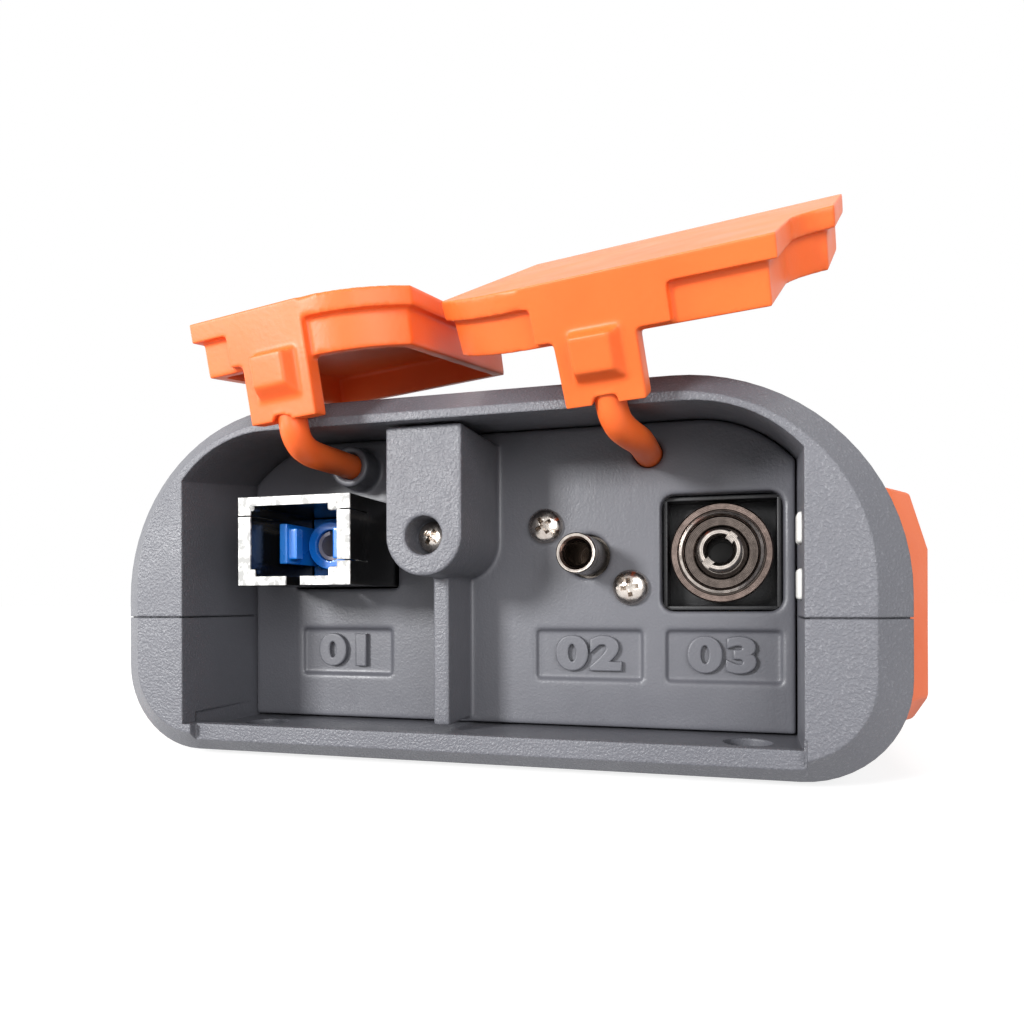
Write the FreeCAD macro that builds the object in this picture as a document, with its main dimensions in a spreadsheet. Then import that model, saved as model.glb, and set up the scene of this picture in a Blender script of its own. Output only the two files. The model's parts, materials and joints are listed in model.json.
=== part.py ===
"""Handheld optical time domain reflectometer with its two port caps folded open.

The instrument lies on its back: +Z is the screen side, the port face looks along -Y, +X is the
right-hand side seen from the port face.  The origin is the centre of the plane it rests on.
"""
import FreeCAD, Part
import math
import os

import Sketcher
from FreeCAD import Matrix, Placement, Rotation, Vector

os.makedirs("parts", exist_ok=True)
doc = FreeCAD.newDocument("Reflectometer")

# --------------------------------------------------------------------------- driving dimensions
SIZES = {
    # housing, outside
    "body_length": 156.0, "body_width": 79.6, "body_height": 36.3, "foot_height": 0.6,
    "parting_height": 14.2, "wall": 2.4, "top_corner": 20.0, "bottom_corner": 9.0,
    "bevel_depth": 2.5, "bevel_side": 3.15, "bevel_top": 2.1, "bevel_bottom": 2.05,
    "end_bevel_depth": 7.0, "end_bevel_in": 4.0, "seam_tall": 0.16, "seam_depth": 0.25,
    "plinth_width": 40.0, "plinth_length": 84.0, "plinth_corner": 3.0,
    # raised screen bezel
    "bezel_rise": 1.0, "bezel_start": 22.0, "bezel_length": 130.0, "bezel_top_width": 66.0,
    "bezel_foot_width": 70.4, "bezel_slope": 3.0,
    # port recess and its mouth
    "mouth_width": 62.0, "mouth_top": 19.15, "mouth_bottom": 11.2, "mouth_flat": 42.0,
    "mouth_shoulder": 13.1, "recess_depth": 13.2, "ceiling_rise": 1.45, "side_draft": 0.2,
    "floor_drop": 0.8, "lip_thickness": 2.2, "lip_setback": 0.9, "detent_radius": 2.3,
    "detent_depth": 1.2, "detent_side": 26.4, "detent_back": 8.8,
    # port panel
    "panel_thickness": 2.5, "panel_gap": 0.15, "boss_left": 8.2, "boss_right": 0.15,
    "boss_height": 8.15, "boss_face": 1.5, "rib_left": 5.2, "rib_right": 3.4, "rib_face": 6.5,
    "counterbore_radius": 1.9, "counterbore_depth": 3.2, "label_depth": 0.5,
    "label_width": 11.5, "label_tall": 5.3, "label_height": 4.1,
    # SC port
    "sc_x": 18.95, "sc_height": 8.07, "sc_width": 13.1, "sc_tall": 9.3, "sc_face": 2.0,
    "sc_length": 25.0, "sc_mouth_width": 10.2, "sc_mouth_tall": 7.45, "sc_mouth_depth": 14.0,
    "sc_key_width": 1.7, "sleeve_length": 6.0, "latch_reach": 10.2, "ferrule": 2.5,
    "sleeve_wall": 0.4,
    # power meter port and fault locator port
    "opm_x": 9.93, "opm_height": 6.47, "opm_tube": 4.1, "opm_face": 7.0, "opm_length": 15.0,
    "opm_screw_dx": 4.6, "opm_screw_dz": 3.35, "pan_head": 3.3, "pan_head_height": 1.3,
    "opm_screw_head": 3.8,
    "vfl_x": 23.8, "vfl_height": 6.65, "vfl_window": 12.2, "vfl_window_corner": 1.3,
    "vfl_flange": 10.4, "vfl_flange_back": 0.8, "vfl_tube": 4.4, "vfl_tube_face": 9.6,
    "vfl_length": 14.0, "cup_wall": 0.6, "cup_depth": 5.0,
    # port caps
    "cap_gap": 0.3, "cap_flange": 1.8, "cap_skirt": 5.2, "cap_inset": 0.75, "cap_wall": 1.2,
    "cap_tab_width": 7.4, "cap_tab_length": 10.6, "cap_tab_thickness": 1.9,
    "cap_block_width": 3.8, "cap_block_length": 4.2, "cap_block_rise": 0.9,
    "tether": 2.8, "tether_gap": 0.3, "barb_rise": 1.0, "barb_length": 3.0, "collar_wall": 0.95,
    "collar_length": 3.2, "otdr_tab_offset": 9.1, "meter_tab_offset": 15.0,
    # grips
    "grip_rise": 3.0, "grip_top": 13.4, "grip_bottom": 10.0, "grip_start": 8.0,
    "grip_length": 128.0,
    # screen and keys
    "lens_width": 61.4, "lens_length": 84.0, "lens_thickness": 1.6, "lens_start": 26.0,
    "lens_gap": 0.2, "lens_ledge": 1.7, "bezel_corner": 9.0, "view_width": 51.0,
    "view_length": 75.5, "lcd_width": 54.7, "lcd_length": 80.0, "lcd_thickness": 3.2, "gasket": 0.9,
    "key_rise": 0.9, "key_gap": 0.3,
    "key_flange": 0.9, "key_brim": 0.9, "key_under": 0.3, "key_travel_room": 0.6,
    "mat_thickness": 1.0, "board_thickness": 1.6, "pad_centre": 132.0, "ok_radius": 5.2,
    "ring_inner": 6.8, "ring_outer": 13.2, "ring_split": 2.0, "side_key_width": 12.0,
    "side_key_length": 8.0, "side_key_x": 22.5, "side_key_spread": 9.6, "keypad_half": 30.2,
    "keypad_corner": 5.0,
    # inside
    "main_board_width": 54.0, "main_board_start": 42.0, "main_board_end": 150.4,
    "main_board_height": 24.6, "standoff_radius": 2.3, "screw_m25": 2.5,
    "engine_width": 43.6, "engine_length": 42.0, "engine_tall": 13.0, "engine_start": 36.0,
    "tray_tall": 3.4, "cell_diameter": 18.4, "cell_length": 65.0, "cell_start": 80.5,
    "cradle_wall": 1.0, "fibre": 0.9, "case_boss_radius": 3.0, "case_boss_x": 31.0,
    "case_screw_head": 4.6, "case_screw_seat": 5.0, "usb_width": 9.0, "usb_tall": 3.2, "usb_depth": 7.4,
}

sheet = doc.addObject("Spreadsheet::Sheet", "sizes")
for row, (alias, number) in enumerate(SIZES.items(), start=1):
    sheet.set("A%d" % row, alias)
    sheet.set("B%d" % row, str(number))
    sheet.setAlias("B%d" % row, alias)
doc.recompute()


def v(alias):
    """Value of one driving dimension."""
    return float(sheet.get(alias))


NODES = []


def node(obj, label):
    """Give a finished object its name and put it on the list of sub-parts."""
    obj.Label = label
    NODES.append(obj)
    return obj


# ------------------------------------------------------------------------------- derived places
FRONT = -v("body_length") / 2
BACK = v("body_length") / 2
BOTTOM = v("foot_height")
TOP = BOTTOM + v("body_height")
PART = BOTTOM + v("parting_height")
BEZEL_TOP = TOP + v("bezel_rise")
PANEL_FACE = FRONT + v("recess_depth")
PANEL_BACK = PANEL_FACE + v("panel_thickness")
HALF = v("body_width") / 2
MOUTH_HALF = v("mouth_width") / 2
MOUTH_TOP = PART + v("mouth_top")
MOUTH_LOW = PART - v("mouth_bottom")
FLOOR = MOUTH_LOW - v("floor_drop")
BOSS_X = -(v("boss_left") + v("boss_right")) / 2
BOSS_R = (v("boss_left") - v("boss_right")) / 2
BOSS_Z = PART + v("boss_height")
POCKET_TOP = BEZEL_TOP - v("lens_thickness") - v("lens_gap") - v("lens_ledge")
STANDOFF_X = v("main_board_width") / 2 - 2.4
FOOT_X = 27.0
FOOT_R = 4.5
FOOT_TOP = BOTTOM + 0.8
CASE_BOSSES = [(side * v("case_boss_x"), FRONT + back) for side in (-1, 1) for back in (24.0, 82.0, 145.0)]
STANDOFFS = [(side * STANDOFF_X, FRONT + back) for side in (-1, 1) for back in (48.0, 83.0, 143.0)]
FEET = [(side * FOOT_X, FRONT + back) for side in (-1, 1) for back in (13.0, 128.0)]
FIT = 0.05  # slack between pieces that slide into one another


# ------------------------------------------------------------------------------ shape functions
def block(x0, x1, y0, y1, z0, z1):
    return Part.makeBox(x1 - x0, y1 - y0, z1 - z0, Vector(x0, y0, z0))


def rod_y(x, z, radius, y0, y1):
    """Cylinder along Y."""
    return Part.makeCylinder(radius, y1 - y0, Vector(x, y0, z), Vector(0, 1, 0))


def rod_z(x, y, radius, z0, z1):
    """Cylinder along Z."""
    return Part.makeCylinder(radius, z1 - z0, Vector(x, y, z0), Vector(0, 0, 1))


def arc(centre, radius, start, end, at):
    """Arc edge in the XZ plane at station y; angles in degrees from +X towards +Z."""
    def point(angle):
        turn = math.radians(angle)
        return Vector(centre[0] + radius * math.cos(turn), at, centre[1] + radius * math.sin(turn))
    return Part.Arc(point(start), point((start + end) / 2), point(end)).toShape()


def joined(pieces, at):
    """Closed wire from arcs (edges) and corner points (x, z), joined by straight lines."""
    edges, first, last = [], None, None
    for piece in pieces:
        if isinstance(piece, tuple):
            begin = end = Vector(piece[0], at, piece[1])
        else:
            begin = piece.valueAt(piece.FirstParameter)
            end = piece.valueAt(piece.LastParameter)
        if last is not None and last.distanceToPoint(begin) > 1e-6:
            edges.append(Part.makeLine(last, begin))
        if not isinstance(piece, tuple):
            edges.append(piece)
        first = first or begin
        last = end
    if last.distanceToPoint(first) > 1e-6:
        edges.append(Part.makeLine(last, first))
    return Part.Wire(edges)


def section(at, half, low, high, r_low, r_high):
    """Outline across the housing: flat sides with round upper and lower corners."""
    return joined([
        arc((half - r_low, low + r_low), r_low, -90, 0, at),
        arc((half - r_high, high - r_high), r_high, 0, 90, at),
        arc((-half + r_high, high - r_high), r_high, 90, 180, at),
        arc((-half + r_low, low + r_low), r_low, 180, 270, at)], at)


def housing(skin):
    """Solid of the whole housing, drawn in by skin on every side (0 is the outside)."""
    r_low, r_high = v("bottom_corner") - skin, v("top_corner") - skin
    rim = section(FRONT, HALF - v("bevel_side"), BOTTOM + v("bevel_bottom"), TOP - v("bevel_top"),
                  v("bottom_corner") - 1.8, v("top_corner") - v("bevel_side"))
    full = [HALF - skin, BOTTOM + skin, TOP - skin, r_low, r_high]
    inward = v("end_bevel_in")
    end = section(BACK - skin, HALF - skin - inward, BOTTOM + skin + inward, TOP - skin - inward,
                  r_low - 1.0, r_high - inward)
    start = rim if skin == 0 else section(PANEL_BACK, *full)
    second = FRONT + v("bevel_depth") if skin == 0 else PANEL_BACK + 1.0
    last = BACK - v("end_bevel_depth") - skin * 0.5
    return Part.makeLoft([start, section(second, *full), section(last, *full), end], True, True)


def mouth(at, side=0.0, up=0.0, down=0.0):
    """Outline of the port opening, grown sideways, upwards and downwards."""
    half, flat = MOUTH_HALF + side, v("mouth_flat") / 2
    radius = v("mouth_shoulder") + side
    top = MOUTH_TOP + up
    low = MOUTH_LOW - down
    lean = math.degrees(math.asin((half - flat) / radius))
    centre = top - radius
    return joined([(-half, low), (half, low), arc((flat, centre), radius, 90 - lean, 90, at),
                   arc((-flat, centre), radius, 90, 90 + lean, at)], at)


def prism(wire, length):
    return Part.Face(wire).extrude(Vector(0, length, 0))


def rounded_plate(x, y, width, length, radius, z0, z1):
    """Plate with rounded corners, centred on x, y."""
    plate = block(x - width / 2, x + width / 2, y - length / 2, y + length / 2, z0, z1)
    upright = [e for e in plate.Edges if abs(e.tangentAt(e.FirstParameter).z) > 0.9]
    return plate.makeFillet(radius, upright)


def feature(label, shape):
    """Sub-part whose shape is worked out here from the sheet's values."""
    obj = doc.addObject("Part::Feature", label)
    obj.Shape = shape
    return node(obj, label)


# ------------------------------------------------------------------------- PartDesign functions
def plane(body, role):
    return next(f for f in body.Origin.OriginFeatures if f.Role == role)


def number(text):
    """Numeric value of an expression over the sheet."""
    return float(NODES[0].evalExpression(text) if NODES else sheet.evalExpression(text))


def new_sketch(body, name, role, height):
    sketch = body.newObject("Sketcher::SketchObject", name)
    sketch.AttachmentSupport = [(plane(body, role), "")]
    sketch.MapMode = "FlatFace"
    sketch.AttachmentOffset = Placement(Vector(0, 0, number(height)), Rotation())
    sketch.setExpression("AttachmentOffset.Base.z", height)
    return sketch


def rectangle(body, name, role, height, left, low, width, tall):
    """Rectangle sketch whose corner and sides are expressions over the sheet."""
    sketch = new_sketch(body, name, role, height)
    x, y, dx, dy = number(left), number(low), number(width), number(tall)
    corners = [Vector(x, y, 0), Vector(x + dx, y, 0), Vector(x + dx, y + dy, 0), Vector(x, y + dy, 0)]
    for i in range(4):
        sketch.addGeometry(Part.LineSegment(corners[i], corners[(i + 1) % 4]), False)
    for i in range(4):
        sketch.addConstraint(Sketcher.Constraint("Coincident", i, 2, (i + 1) % 4, 1))
    for i, kind in enumerate(("Horizontal", "Vertical", "Horizontal", "Vertical")):
        sketch.addConstraint(Sketcher.Constraint(kind, i))
    bound = [(Sketcher.Constraint("DistanceX", -1, 1, 0, 1, x), left),
             (Sketcher.Constraint("DistanceY", -1, 1, 0, 1, y), low),
             (Sketcher.Constraint("DistanceX", 0, 1, 0, 2, dx), width),
             (Sketcher.Constraint("DistanceY", 1, 1, 1, 2, dy), tall)]
    for constraint, text in bound:
        index = sketch.addConstraint(constraint)
        sketch.setExpression("Constraints[%d]" % index, text)
    return sketch


def circle(body, name, role, height, x, y, radius):
    """Circle sketch whose centre and radius are expressions over the sheet."""
    sketch = new_sketch(body, name, role, height)
    cx, cy, r = number(x), number(y), number(radius)
    sketch.addGeometry(Part.Circle(Vector(cx, cy, 0), Vector(0, 0, 1), r), False)
    bound = [(Sketcher.Constraint("Radius", 0, r), radius)]
    if abs(cx) > 1e-9:
        bound.append((Sketcher.Constraint("DistanceX", -1, 1, 0, 3, cx), x))
    else:
        sketch.addConstraint(Sketcher.Constraint("PointOnObject", 0, 3, -2))
    if abs(cy) > 1e-9:
        bound.append((Sketcher.Constraint("DistanceY", -1, 1, 0, 3, cy), y))
    else:
        sketch.addConstraint(Sketcher.Constraint("PointOnObject", 0, 3, -1))
    for constraint, text in bound:
        index = sketch.addConstraint(constraint)
        sketch.setExpression("Constraints[%d]" % index, text)
    return sketch


def pad(body, sketch, length):
    made = body.newObject("PartDesign::Pad", sketch.Name + "_pad")
    made.Profile = sketch
    made.setExpression("Length", length)
    sketch.Visibility = False
    return made


def pocket(body, sketch, depth, towards_normal=True):
    """Cut along the sketch normal (or against it) and make sure that it removed something."""
    doc.recompute()
    before = body.Shape.Volume
    made = body.newObject("PartDesign::Pocket", sketch.Name + "_pocket")
    made.Profile = sketch
    made.Reversed = towards_normal
    made.setExpression("Length", depth)
    doc.recompute()
    if body.Shape.Volume > before - 1e-6:
        raise RuntimeError("pocket %s cut nothing" % sketch.Name)
    return made


def rounded(body, radius, pick):
    """Fillet the body's edges that pick() accepts."""
    doc.recompute()
    base = body.Tip
    names = ["Edge%d" % (i + 1) for i, edge in enumerate(base.Shape.Edges) if pick(edge)]
    made = body.newObject("PartDesign::Fillet", body.Name + "_fillet")
    made.Base = (base, names)
    made.Radius = radius
    return made


def upright(edge):
    return edge.Curve.TypeId == "Part::GeomLine" and abs(edge.Curve.Direction.z) > 0.99


def deep(edge):
    return edge.Curve.TypeId == "Part::GeomLine" and abs(edge.Curve.Direction.y) > 0.99


def new_body(label):
    return node(doc.addObject("PartDesign::Body", label), label)


def plate_body(label, height, thickness, left, low, width, tall, corner=None):
    """Flat plate drawn on the XY plane; left, low, width and tall are expressions."""
    body = new_body(label)
    pad(body, rectangle(body, label + "_outline", "XY_Plane", height, left, low, width, tall), thickness)
    if corner:
        rounded(body, corner, upright)
    return body


# Expressions that several bodies share.  On the XZ plane a sketch faces -Y, so a height of
# F is the port face and smaller heights lie further in.
F = "(sizes.body_length / 2)"
P = "(sizes.foot_height + sizes.parting_height)"
BEZEL = "(sizes.foot_height + sizes.body_height + sizes.bezel_rise)"
LENS_LOW = "(" + BEZEL + " - sizes.lens_thickness - 0.1)"
ROOF = "(" + BEZEL + " - sizes.lens_thickness - sizes.lens_gap - sizes.lens_ledge)"


# ------------------------------------------------------------------------------------- housing
def recess():
    """Everything that the port recess takes out of the two shells."""
    outer = Part.makeLoft([mouth(FRONT - 1), mouth(FRONT + 1)], True, True)
    draft = [v("side_draft"), v("ceiling_rise"), 0.0]
    tapered = Part.makeLoft([mouth(FRONT + 1), mouth(PANEL_FACE, *draft)], True, True)
    seat = prism(mouth(PANEL_FACE, *draft), v("panel_thickness") + 0.5)
    wide = MOUTH_HALF + v("side_draft")
    sunk = block(-wide, wide, FRONT + v("lip_thickness"), PANEL_BACK + 0.5, FLOOR, MOUTH_LOW + 1)
    return outer.fuse([tapered, seat, sunk])


def bezel():
    """Raised flat frame round the screen and keys, with a sloping front."""
    foot, top = v("bezel_foot_width") / 2, v("bezel_top_width") / 2
    start, length, slope = FRONT + v("bezel_start"), v("bezel_length"), v("bezel_slope")
    low = TOP - 7.2

    def level(half, z, cut):
        plate = rounded_plate(0, start + length / 2, 2 * half, length - 2 * cut, v("bezel_corner"), z, z + 1)
        bottom = min(plate.Faces, key=lambda face: face.CenterOfMass.z)
        return bottom.OuterWire
    return Part.makeLoft([level(foot, low, 0.0), level(top, BEZEL_TOP, slope)], True, True)


LENS_CENTRE = FRONT + v("lens_start") + v("lens_length") / 2
PAD_Y = FRONT + v("pad_centre")
SIDE_KEYS = {"power_key": (1, 1), "back_key": (-1, 1), "test_key": (1, -1), "light_key": (-1, -1)}
ARROWS = {"arrow_up_key": 270, "arrow_right_key": 0, "arrow_down_key": 90, "arrow_left_key": 180}


def ring_sector(middle, grow, z0, z1, brim=0.0):
    """One quarter of the arrow ring, grown all round by grow and outwards by brim."""
    centre = Vector(0, PAD_Y, z0)
    inner, outer = v("ring_inner") - grow, v("ring_outer") + grow + brim
    ring = Part.makeCylinder(outer, z1 - z0, centre).cut(Part.makeCylinder(inner, z1 - z0, centre))
    reach = 2 * outer
    split = v("ring_split") / 2 - grow
    wedge = Part.Face(Part.makePolygon([
        Vector(split * math.sqrt(2), PAD_Y, z0), Vector(reach, PAD_Y - reach + split * math.sqrt(2), z0),
        Vector(reach, PAD_Y + reach - split * math.sqrt(2), z0), Vector(split * math.sqrt(2), PAD_Y, z0)]))
    wedge = wedge.extrude(Vector(0, 0, z1 - z0))
    wedge.rotate(centre, Vector(0, 0, 1), middle)
    return ring.common(wedge)


def side_key_place(name):
    across, back = SIDE_KEYS[name]
    return across * v("side_key_x"), PAD_Y - back * v("side_key_spread")


def key_shapes(grow, z0, z1):
    """All key outlines between two heights, grown by grow (0 for the cap itself)."""
    shapes = {"ok_key": Part.makeCylinder(v("ok_radius") + grow, z1 - z0, Vector(0, PAD_Y, z0))}
    for name, middle in ARROWS.items():
        shapes[name] = ring_sector(middle, grow, z0, z1)
    for name in SIDE_KEYS:
        x, y = side_key_place(name)
        shapes[name] = rounded_plate(x, y, v("side_key_width") + 2 * grow,
                                     v("side_key_length") + 2 * grow, 3.0 + grow, z0, z1)
    return shapes


whole = housing(0.0)
hollow = housing(v("wall"))
recess_cut = recess()


def seam():
    """Fine groove that runs round the parting line, outside and inside the port recess."""
    top, depth = PART + v("seam_tall"), v("seam_depth")
    right = [(HALF - v("bevel_side"), FRONT), (HALF, FRONT + v("bevel_depth")),
             (HALF, BACK - v("end_bevel_depth")), (HALF - v("end_bevel_in"), BACK)]
    corners = right + [(-x, y) for x, y in reversed(right)] + right[:1]
    core = Part.Face(Part.makePolygon([Vector(x, y, PART) for x, y in corners])).makeOffset2D(-depth)
    ring = block(-HALF - 1, HALF + 1, FRONT - 1, BACK + 1, PART, top).cut(core.extrude(Vector(0, 0, 1)))
    inner = MOUTH_HALF + v("side_draft") + depth
    return ring.fuse(block(-inner, inner, FRONT - 1, PANEL_FACE, PART, top))


def make_top_shell():
    upper = block(-HALF - 1, HALF + 1, FRONT - 1, BACK + 1, PART, BEZEL_TOP + 5)
    shell = whole.fuse(bezel()).common(upper)
    shell = shell.cut(hollow.fuse(recess_cut))
    posts = [rod_z(x, y, v("case_boss_radius"), PART + 0.1, TOP - 1.0) for x, y in CASE_BOSSES]
    screw_post = block(BOSS_X - BOSS_R, BOSS_X + BOSS_R, PANEL_BACK + 0.1, PANEL_BACK + 8.0,
                       BOSS_Z - BOSS_R, TOP - 1.0)
    lamp_pins = [rod_z(x, PAD_Y + dy, 1.6, KEY_BOARD_TOP, TOP) for x in (-13.0, 13.0) for dy in (-15.0, 15.0)]
    shell = shell.fuse([p.common(whole) for p in posts + [screw_post] + lamp_pins])
    half = v("keypad_half")
    roof_start, roof_end = LENS_CENTRE - v("lcd_length") / 2 - 0.5, PAD_Y + 17.5
    roof_cut = rounded_plate(0, (roof_start + roof_end) / 2, 2 * half, roof_end - roof_start,
                             v("keypad_corner"), TOP - 8.0, POCKET_TOP)
    kept_pins = [pin.common(roof_cut) for pin in lamp_pins]
    shell = shell.cut(roof_cut).fuse(kept_pins)
    gap = v("lens_gap")
    lens_seat = rounded_plate(0, LENS_CENTRE, v("lens_width") + 2 * gap, v("lens_length") + 2 * gap, 4.0,
                              BEZEL_TOP - v("lens_thickness") - 0.1, BEZEL_TOP + 1)
    view = rounded_plate(0, LENS_CENTRE, v("view_width"), v("view_length"), 1.0, POCKET_TOP - 2, BEZEL_TOP)
    pilot = [rod_z(x, y, 1.05, PART, PART + 8.0) for x, y in CASE_BOSSES]
    screw_hole = rod_y(BOSS_X, BOSS_Z, 1.1, PANEL_BACK, PANEL_BACK + 7.0)
    keys = list(key_shapes(v("key_gap"), POCKET_TOP - 1, BEZEL_TOP + 1).values())
    usb_hole = block(-v("usb_width") / 2 - 0.3, v("usb_width") / 2 + 0.3, BACK - 8, BACK + 1,
                     USB_Z - v("usb_tall") / 2 - 0.3, USB_Z + v("usb_tall") / 2 + 0.3)
    cover_seat = block(-8.2, 8.2, BACK - 1.6, BACK + 1, USB_Z - 4.0, USB_Z + 4.0)
    lamps = [rod_z(x, LAMP_Y, LAMP_R + 0.1, POCKET_TOP - 3, BEZEL_TOP + 1) for x in LAMP_XS]
    notches = [block(MOUTH_HALF - 0.2, MOUTH_HALF + 0.9, FRONT + 4.5, FRONT + 7.5, PART + z, PART + z + 3.0)
               for z in (1.6, 6.7)]
    openings = [lens_seat, view, screw_hole, usb_hole, cover_seat]
    shell = shell.cut(Part.makeCompound(openings + pilot + notches))
    for hole in keys + lamps + [seam()]:
        shell = shell.cut(hole)
    return shell


def make_bottom_shell():
    lower = block(-HALF - 1, HALF + 1, FRONT - 1, BACK + 1, BOTTOM - 1, PART)
    shell = whole.common(lower).cut(hollow.fuse(recess_cut))
    posts = [rod_z(x, y, v("case_boss_radius"), BOTTOM, PART) for x, y in CASE_BOSSES]
    plinth = rounded_plate(0, 0, v("plinth_width"), v("plinth_length"), v("plinth_corner"),
                           0, BOTTOM + 0.5)
    shell = shell.fuse([p.common(whole) for p in posts] + [plinth])
    lip = block(-MOUTH_HALF + 1, MOUTH_HALF + 0.2, FRONT - 1, FRONT + v("lip_setback"),
                BOTTOM - 1, MOUTH_LOW + 1)
    screw_ways = [rod_z(x, y, 1.45, BOTTOM - 1, PART + 1) for x, y in CASE_BOSSES]
    heads = [rod_z(x, y, v("case_screw_head") / 2 + 0.3, BOTTOM - 1, BOTTOM + v("case_screw_seat"))
             for x, y in CASE_BOSSES]
    feet = [rod_z(x, y, FOOT_R + 0.1, BOTTOM - 1, FOOT_TOP) for x, y in FEET]
    detents = [rod_z(x, FRONT + v("detent_back"), v("detent_radius"), FLOOR - v("detent_depth"), FLOOR + 1)
               for x in (-v("detent_side"), v("detent_side"))]
    return shell.cut(Part.makeCompound([lip] + detents)).cut(Part.makeCompound(screw_ways)).cut(
        Part.makeCompound(heads + feet))


def make_grip(side):
    """Soft side grip: a bulged strip that hugs the outside of the housing."""
    low, high = PART - v("grip_bottom"), PART + v("grip_top")
    start = FRONT + v("grip_start")
    end = start + v("grip_length")
    out = HALF + v("grip_rise")

    def outline(at, rise):
        reach = HALF + rise
        return Part.makePolygon([Vector(HALF - 6, at, low), Vector(reach - 1.4, at, low + 0.4),
                                 Vector(reach, at, low + 2.6), Vector(reach, at, high - 7.0),
                                 Vector(reach - 1.6, at, high - 1.6), Vector(HALF - 6, at, high),
                                 Vector(HALF - 6, at, low)])
    rise = out - HALF
    strip = Part.makeLoft([outline(start, 0.6), outline(start + 4, rise), outline(end - 4, rise),
                           outline(end, 0.6)], True, True)
    strip = strip.cut(whole)
    if side < 0:
        strip = strip.mirror(Vector(0, 0, 0), Vector(1, 0, 0))
    return strip


# ---------------------------------------------------------------------------------- port panel
SC_X, SC_Z = -v("sc_x"), PART + v("sc_height")
OPM_X, OPM_Z = v("opm_x"), PART + v("opm_height")
VFL_X, VFL_Z = v("vfl_x"), PART + v("vfl_height")
OPM_SCREWS = [(OPM_X - v("opm_screw_dx"), OPM_Z + v("opm_screw_dz")),
              (OPM_X + v("opm_screw_dx"), OPM_Z - v("opm_screw_dz"))]
LABELS = [-18.8, 10.0, 24.0]
SCREW_SEAT = FRONT + v("boss_face") + v("counterbore_depth")
TETHER_R = v("tether") / 2
EYE_ROOF = TOP - v("wall") - TETHER_R - v("barb_rise")
OTDR_EYE = Vector(-16.8, PANEL_FACE, EYE_ROOF - 0.3)
METER_EYE = Vector(16.4, PANEL_FACE, EYE_ROOF - 0.1)


def make_port_panel():
    gap = v("panel_gap")
    outline = mouth(PANEL_FACE + FIT, v("side_draft") - gap, v("ceiling_rise") - gap,
                    v("floor_drop") - gap - 0.1)
    panel = prism(outline, v("panel_thickness"))
    boss_front = FRONT + v("boss_face")
    boss = prism(joined([arc((BOSS_X, BOSS_Z), BOSS_R, 180, 360, boss_front),
                         (BOSS_X + BOSS_R, MOUTH_TOP - gap), (BOSS_X - BOSS_R, MOUTH_TOP - gap)],
                        boss_front), PANEL_FACE + 1 - boss_front)
    rib = block(-v("rib_left"), -v("rib_right"), FRONT + v("rib_face"), PANEL_FACE + 1,
                MOUTH_LOW, BOSS_Z)
    collar = rod_y(OTDR_EYE.x, OTDR_EYE.z, TETHER_R + v("collar_wall"),
                   PANEL_FACE - v("collar_length"), PANEL_FACE + 1)
    panel = panel.fuse([boss, rib, collar])
    front, back = FRONT - 1, PANEL_BACK + 1
    half_w, half_t = v("sc_width") / 2 + 0.15, v("sc_tall") / 2 + 0.15
    cuts = [block(SC_X - half_w, SC_X + half_w, front, back, SC_Z - half_t, SC_Z + half_t),
            rod_y(OPM_X, OPM_Z, v("opm_tube") / 2 + 0.3, front, back),
            rod_y(OTDR_EYE.x, OTDR_EYE.z, TETHER_R + 0.1, front, back),
            rod_y(METER_EYE.x, METER_EYE.z, TETHER_R + 0.1, front, back),
            rod_y(BOSS_X, BOSS_Z, 1.35, front, back),
            rod_y(BOSS_X, BOSS_Z, v("counterbore_radius"), front, SCREW_SEAT)]
    cuts += [rod_y(x, z, 0.95, front, back) for x, z in OPM_SCREWS]
    window = block(VFL_X - v("vfl_window") / 2, VFL_X + v("vfl_window") / 2, front, back,
                   VFL_Z - v("vfl_window") / 2, VFL_Z + v("vfl_window") / 2)
    cuts.append(window.makeFillet(v("vfl_window_corner"), [e for e in window.Edges if deep(e)]))
    middle = PART - v("label_height")
    for x in LABELS:
        cuts.append(block(x - v("label_width") / 2, x + v("label_width") / 2, front,
                          PANEL_FACE + FIT + v("label_depth"), middle - v("label_tall") / 2,
                          middle + v("label_tall") / 2))
    return panel.cut(Part.makeCompound(cuts[:5])).cut(Part.makeCompound(cuts[5:]))


# ------------------------------------------------------------------------------------ port caps
def fold_point(place, eye):
    """Where a tether bends: just under the end of the cap's tab, below the mouth's top edge."""
    end = place.multVec(Vector(0, v("cap_tab_thickness") / 2, -v("cap_tab_length")))
    height = MOUTH_TOP - TETHER_R - 0.75
    return Vector(end.x + 0.2 * (eye.x - end.x), end.y + 0.45, height)


def open_place(x, y, z, pitch, roll, yaw):
    """Placement of an open cap: origin at the tab, outer face up, near edge towards the user."""
    tilt = Rotation(Vector(0, 1, 0), roll) * Rotation(Vector(1, 0, 0), pitch)
    return Placement(Vector(x, y, z), Rotation(Vector(0, 0, 1), yaw) * tilt)


OTDR_PLACE = open_place(-16.83, FRONT - 6.03, PART + 29.33, 8.65, -4.4, -4.76)
METER_PLACE = open_place(13.62, FRONT - 7.85, PART + 27.87, 28.62, -1.28, -9.62)
OTDR_FOLD = fold_point(OTDR_PLACE, OTDR_EYE)
METER_FOLD = fold_point(METER_PLACE, METER_EYE)


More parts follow.
